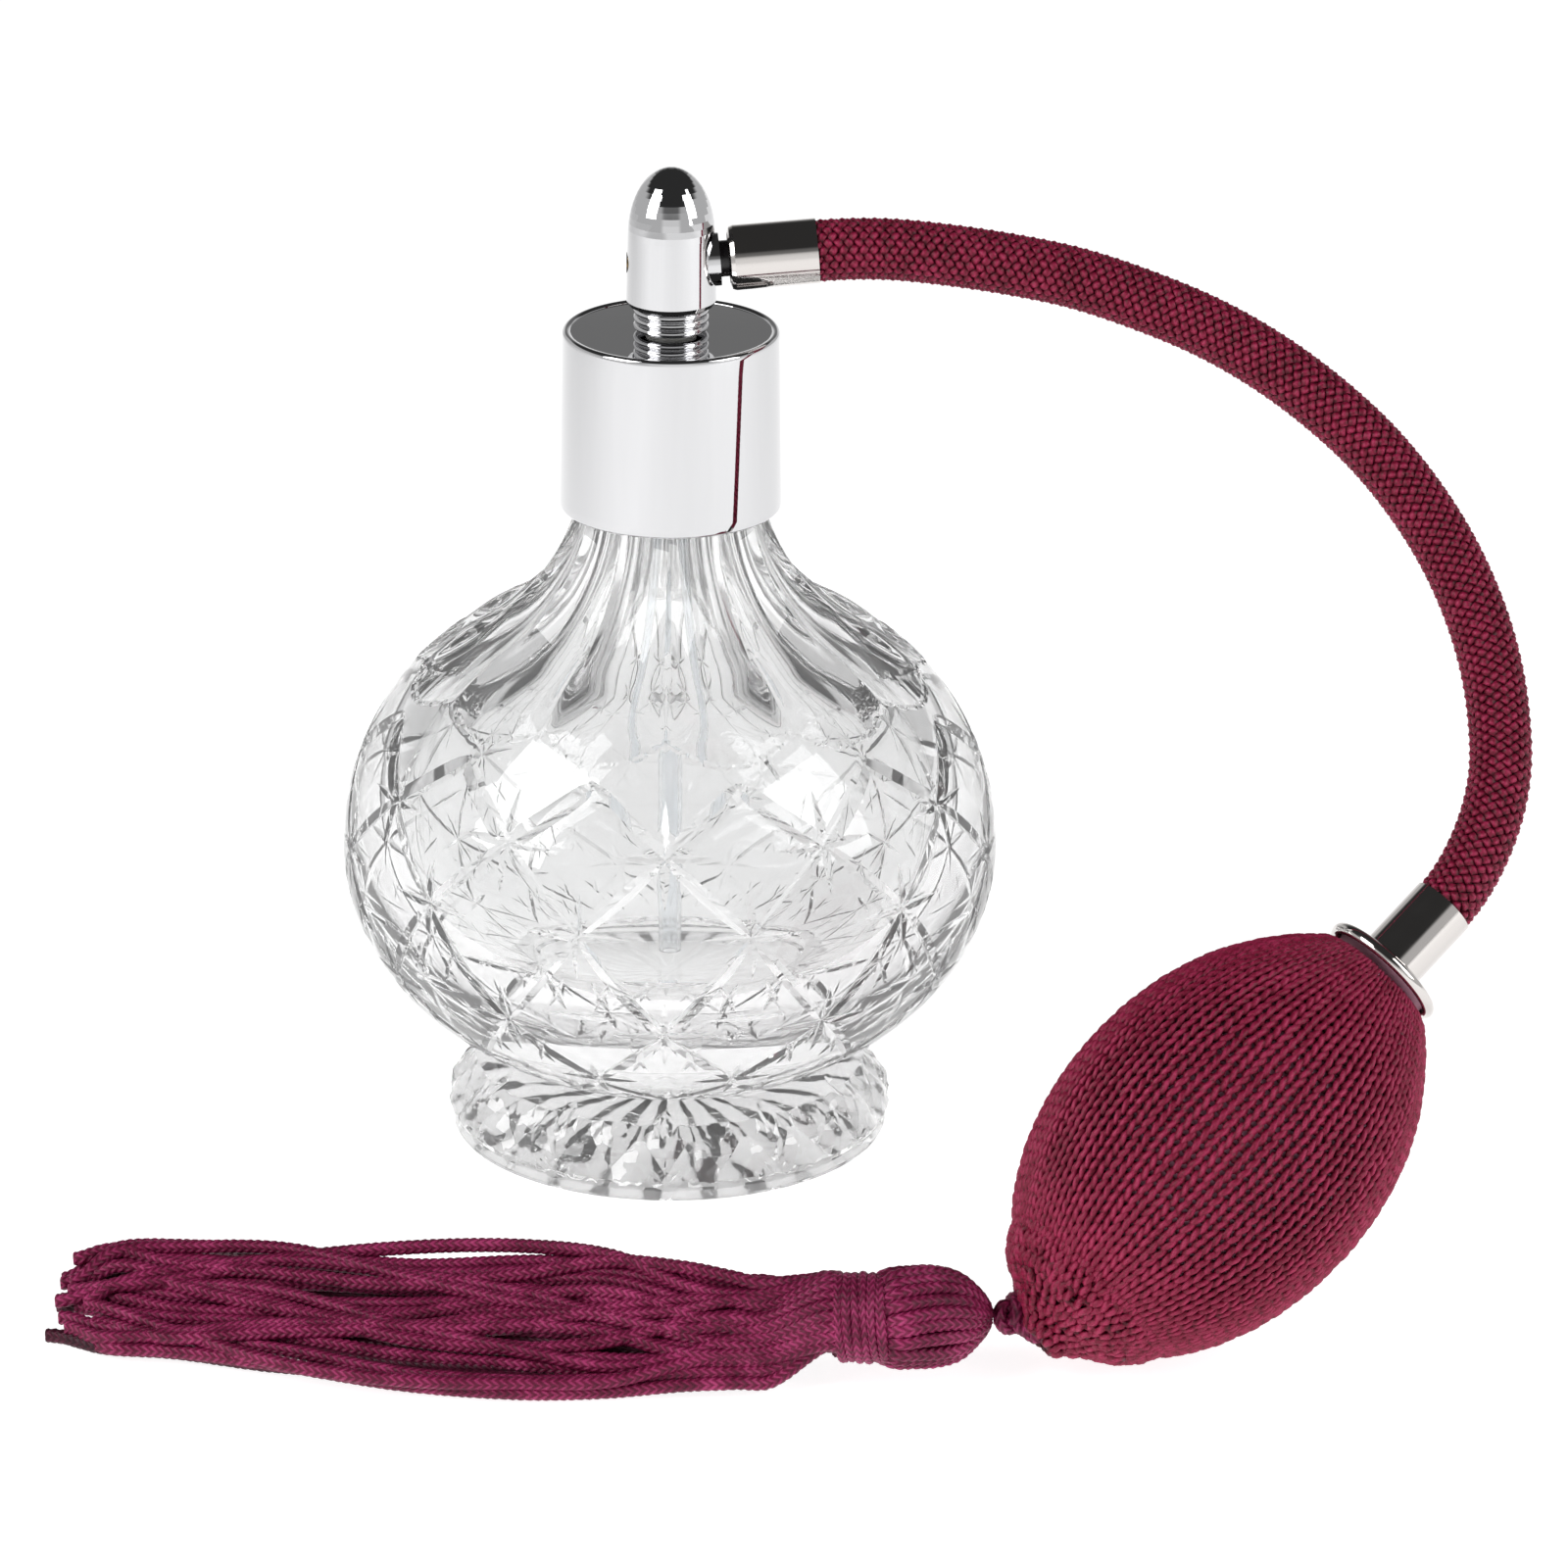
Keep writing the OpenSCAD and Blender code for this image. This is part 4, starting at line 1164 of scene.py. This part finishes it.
def make_stage():
    """The pale floor. Its glow is painted light, as under a studio's lamps, and is less towards the far
    left.
    """
    size = 6000
    floor = add_mesh("floor", [(-size, -size, -0.03), (size, -size, -0.03), (size, size, -0.03),
                               (-size, size, -0.03)], [[0, 1, 2, 3]], smooth=False)
    # The floor's glow is painted light: it stands for lamp light and fills the shade under the pieces.
    s = Shader("floor_paper", Roughness=0.85, Emission_Strength=0.88)
    s.drive("Emission Color", s.math("ADD", s.axes()[0], 0.7), [(0.28, 0.66), (0.54, 1.0)])
    s.drive("Base Color", s.noise(14, 3.0), [(0.3, 0.49), (0.7, 0.52)])
    floor.data.materials.append(s.material)


def softbox(name, place, size, power):
    """A rectangular lamp that faces the bottle's widest part."""
    data = bpy.data.lights.new(name, "AREA")
    data.shape = "RECTANGLE"
    data.size, data.size_y = (x * MM for x in size)
    data.energy = power
    lamp = bpy.data.objects.new(name, data)
    lamp.location = Vector(place) * MM
    lamp.rotation_euler = (Vector((0, 0, 50)) - Vector(place)).to_track_quat("-Z", "Y").to_euler()
    bpy.context.scene.collection.objects.link(lamp)


# How bright the tent is from the horizon at 0 to overhead at 1.
SKY = [(0.05, 0.95), (0.18, 0.80), (0.30, 0.20), (0.42, 0.16), (0.52, 0.035), (1.0, 0.035)]


def make_lights():
    """A tent that is white near the table, grey at its sides and dark overhead, and two softboxes."""
    world = bpy.data.worlds.new("studio")
    tree = Nodes(world)
    split = tree.node("SeparateXYZ", {0: tree.places.outputs["Generated"]}).outputs

    def smooth_step(value, low, high):
        inputs = {"Value": value, "From Min": low, "From Max": high}
        return tree.node("MapRange", inputs, interpolation_type="SMOOTHSTEP").outputs[0]

    sky = tree.ramp(split["Z"], SKY)
    card = tree.multiply(smooth_step(tree.math("ABSOLUTE", split["X"]), 0.30, 0.50),
                         smooth_step(split["Z"], 0.50, 0.36))
    mix = tree.node("Mix", {}, data_type="RGBA")
    mix.inputs["B"].default_value = (0.6, 0.6, 0.6, 1)
    tree.links.new(card, mix.inputs["Factor"])
    tree.links.new(sky, mix.inputs["A"])
    background = tree.nodes["Background"].inputs
    tree.links.new(mix.outputs["Result"], background["Color"])
    background["Strength"].default_value = 1.0
    bpy.context.scene.world = world
    softbox("left_box", (-560, -330, 470), (420, 560), 4.2)
    softbox("right_box", (620, -300, 430), (360, 520), 2.6)


# ---- together


def make_all():
    """Materials, pieces, stage and lights, in the order that they are built."""
    burgundy = srgb(58, 1, 14), srgb(120, 10, 46), srgb(178, 50, 92)
    plum = srgb(46, 2, 20), srgb(110, 12, 56), srgb(190, 66, 122)
    materials.update({
        "clear_glass": cut_glass(),
        "chrome": polished("mirror_chrome", (0.64, 0.64, 0.65, 1), 0.012),
        "nickel": polished("polished_nickel", (0.66, 0.63, 0.61, 1), 0.06),
        "brass_core": turned_brass(),
        "seal_rubber": rubber("seal_rubber", srgb(52, 52, 54), srgb(34, 34, 36)),
        "natural_plastic": plastic("natural_plastic", srgb(236, 236, 230), srgb(222, 222, 214), 0.38),
        "tube_plastic": plastic("tube_plastic", srgb(252, 253, 254), srgb(247, 250, 252), 0.03,
                                through=1.0),
        "dark_nipple": plastic("dark_nipple", srgb(38, 34, 36), srgb(20, 17, 19), 0.22),
        # The hose tube's dark colour is partly painted shade: it stands for the shade in the gaps of the
        # braid over it.
        "hose_rubber": rubber("hose_rubber", srgb(72, 10, 30), srgb(52, 6, 20)),
        "bulb_rubber": rubber("bulb_rubber", srgb(216, 160, 184), srgb(190, 134, 158)),
        "braid_cord": yarn("braid_yarn", *burgundy, plies=3.0, lay=2.5,
                           period=BRAID_TURN / BRAID_YARNS, crest_highlight=0.2, level=-0.24),
        "net_yarn": yarn("net_yarn", *burgundy, period=LOOP_CREST, crest_highlight=0.12, level=-0.12),
        "tassel_cord": knitted("tassel_knit", *plum),
    })
    # A darker copy of the net's yarn colours for the tail's backing: painted shade for the gaps between the
    # gathered stitches.
    backing = yarn("net_backing_painted_shade", srgb(50, 4, 18), srgb(84, 14, 40), srgb(110, 30, 60))
    shaded = knitted("shaded_knit", srgb(26, 1, 10), srgb(62, 6, 30), srgb(96, 22, 54))
    # A darker copy of the cords' colours for the head's core: painted shade for the gaps between the head's
    # cords.
    core_cloth = yarn("tassel_core_painted_shade", srgb(44, 3, 22), srgb(74, 12, 44), srgb(100, 30, 64))

    make_camera()
    make_hose()
    make_skirt(shaded)
    make_tassel_head(core_cloth)
    make_binding()
    make_knot()
    soft = make_net() + make_rubber(backing)
    make_glass()
    make_collar()
    make_cup()
    make_ribs()
    dress_cad()
    make_stage()
    make_lights()
    first, _ = basis(bulb_axis, (0, -1, 0))      # the direction that the bulb is squeezed in
    for piece in soft:
        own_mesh(piece)
        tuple(first)
    bpy.context.scene.view_settings.view_transform = "Standard"


make_all()
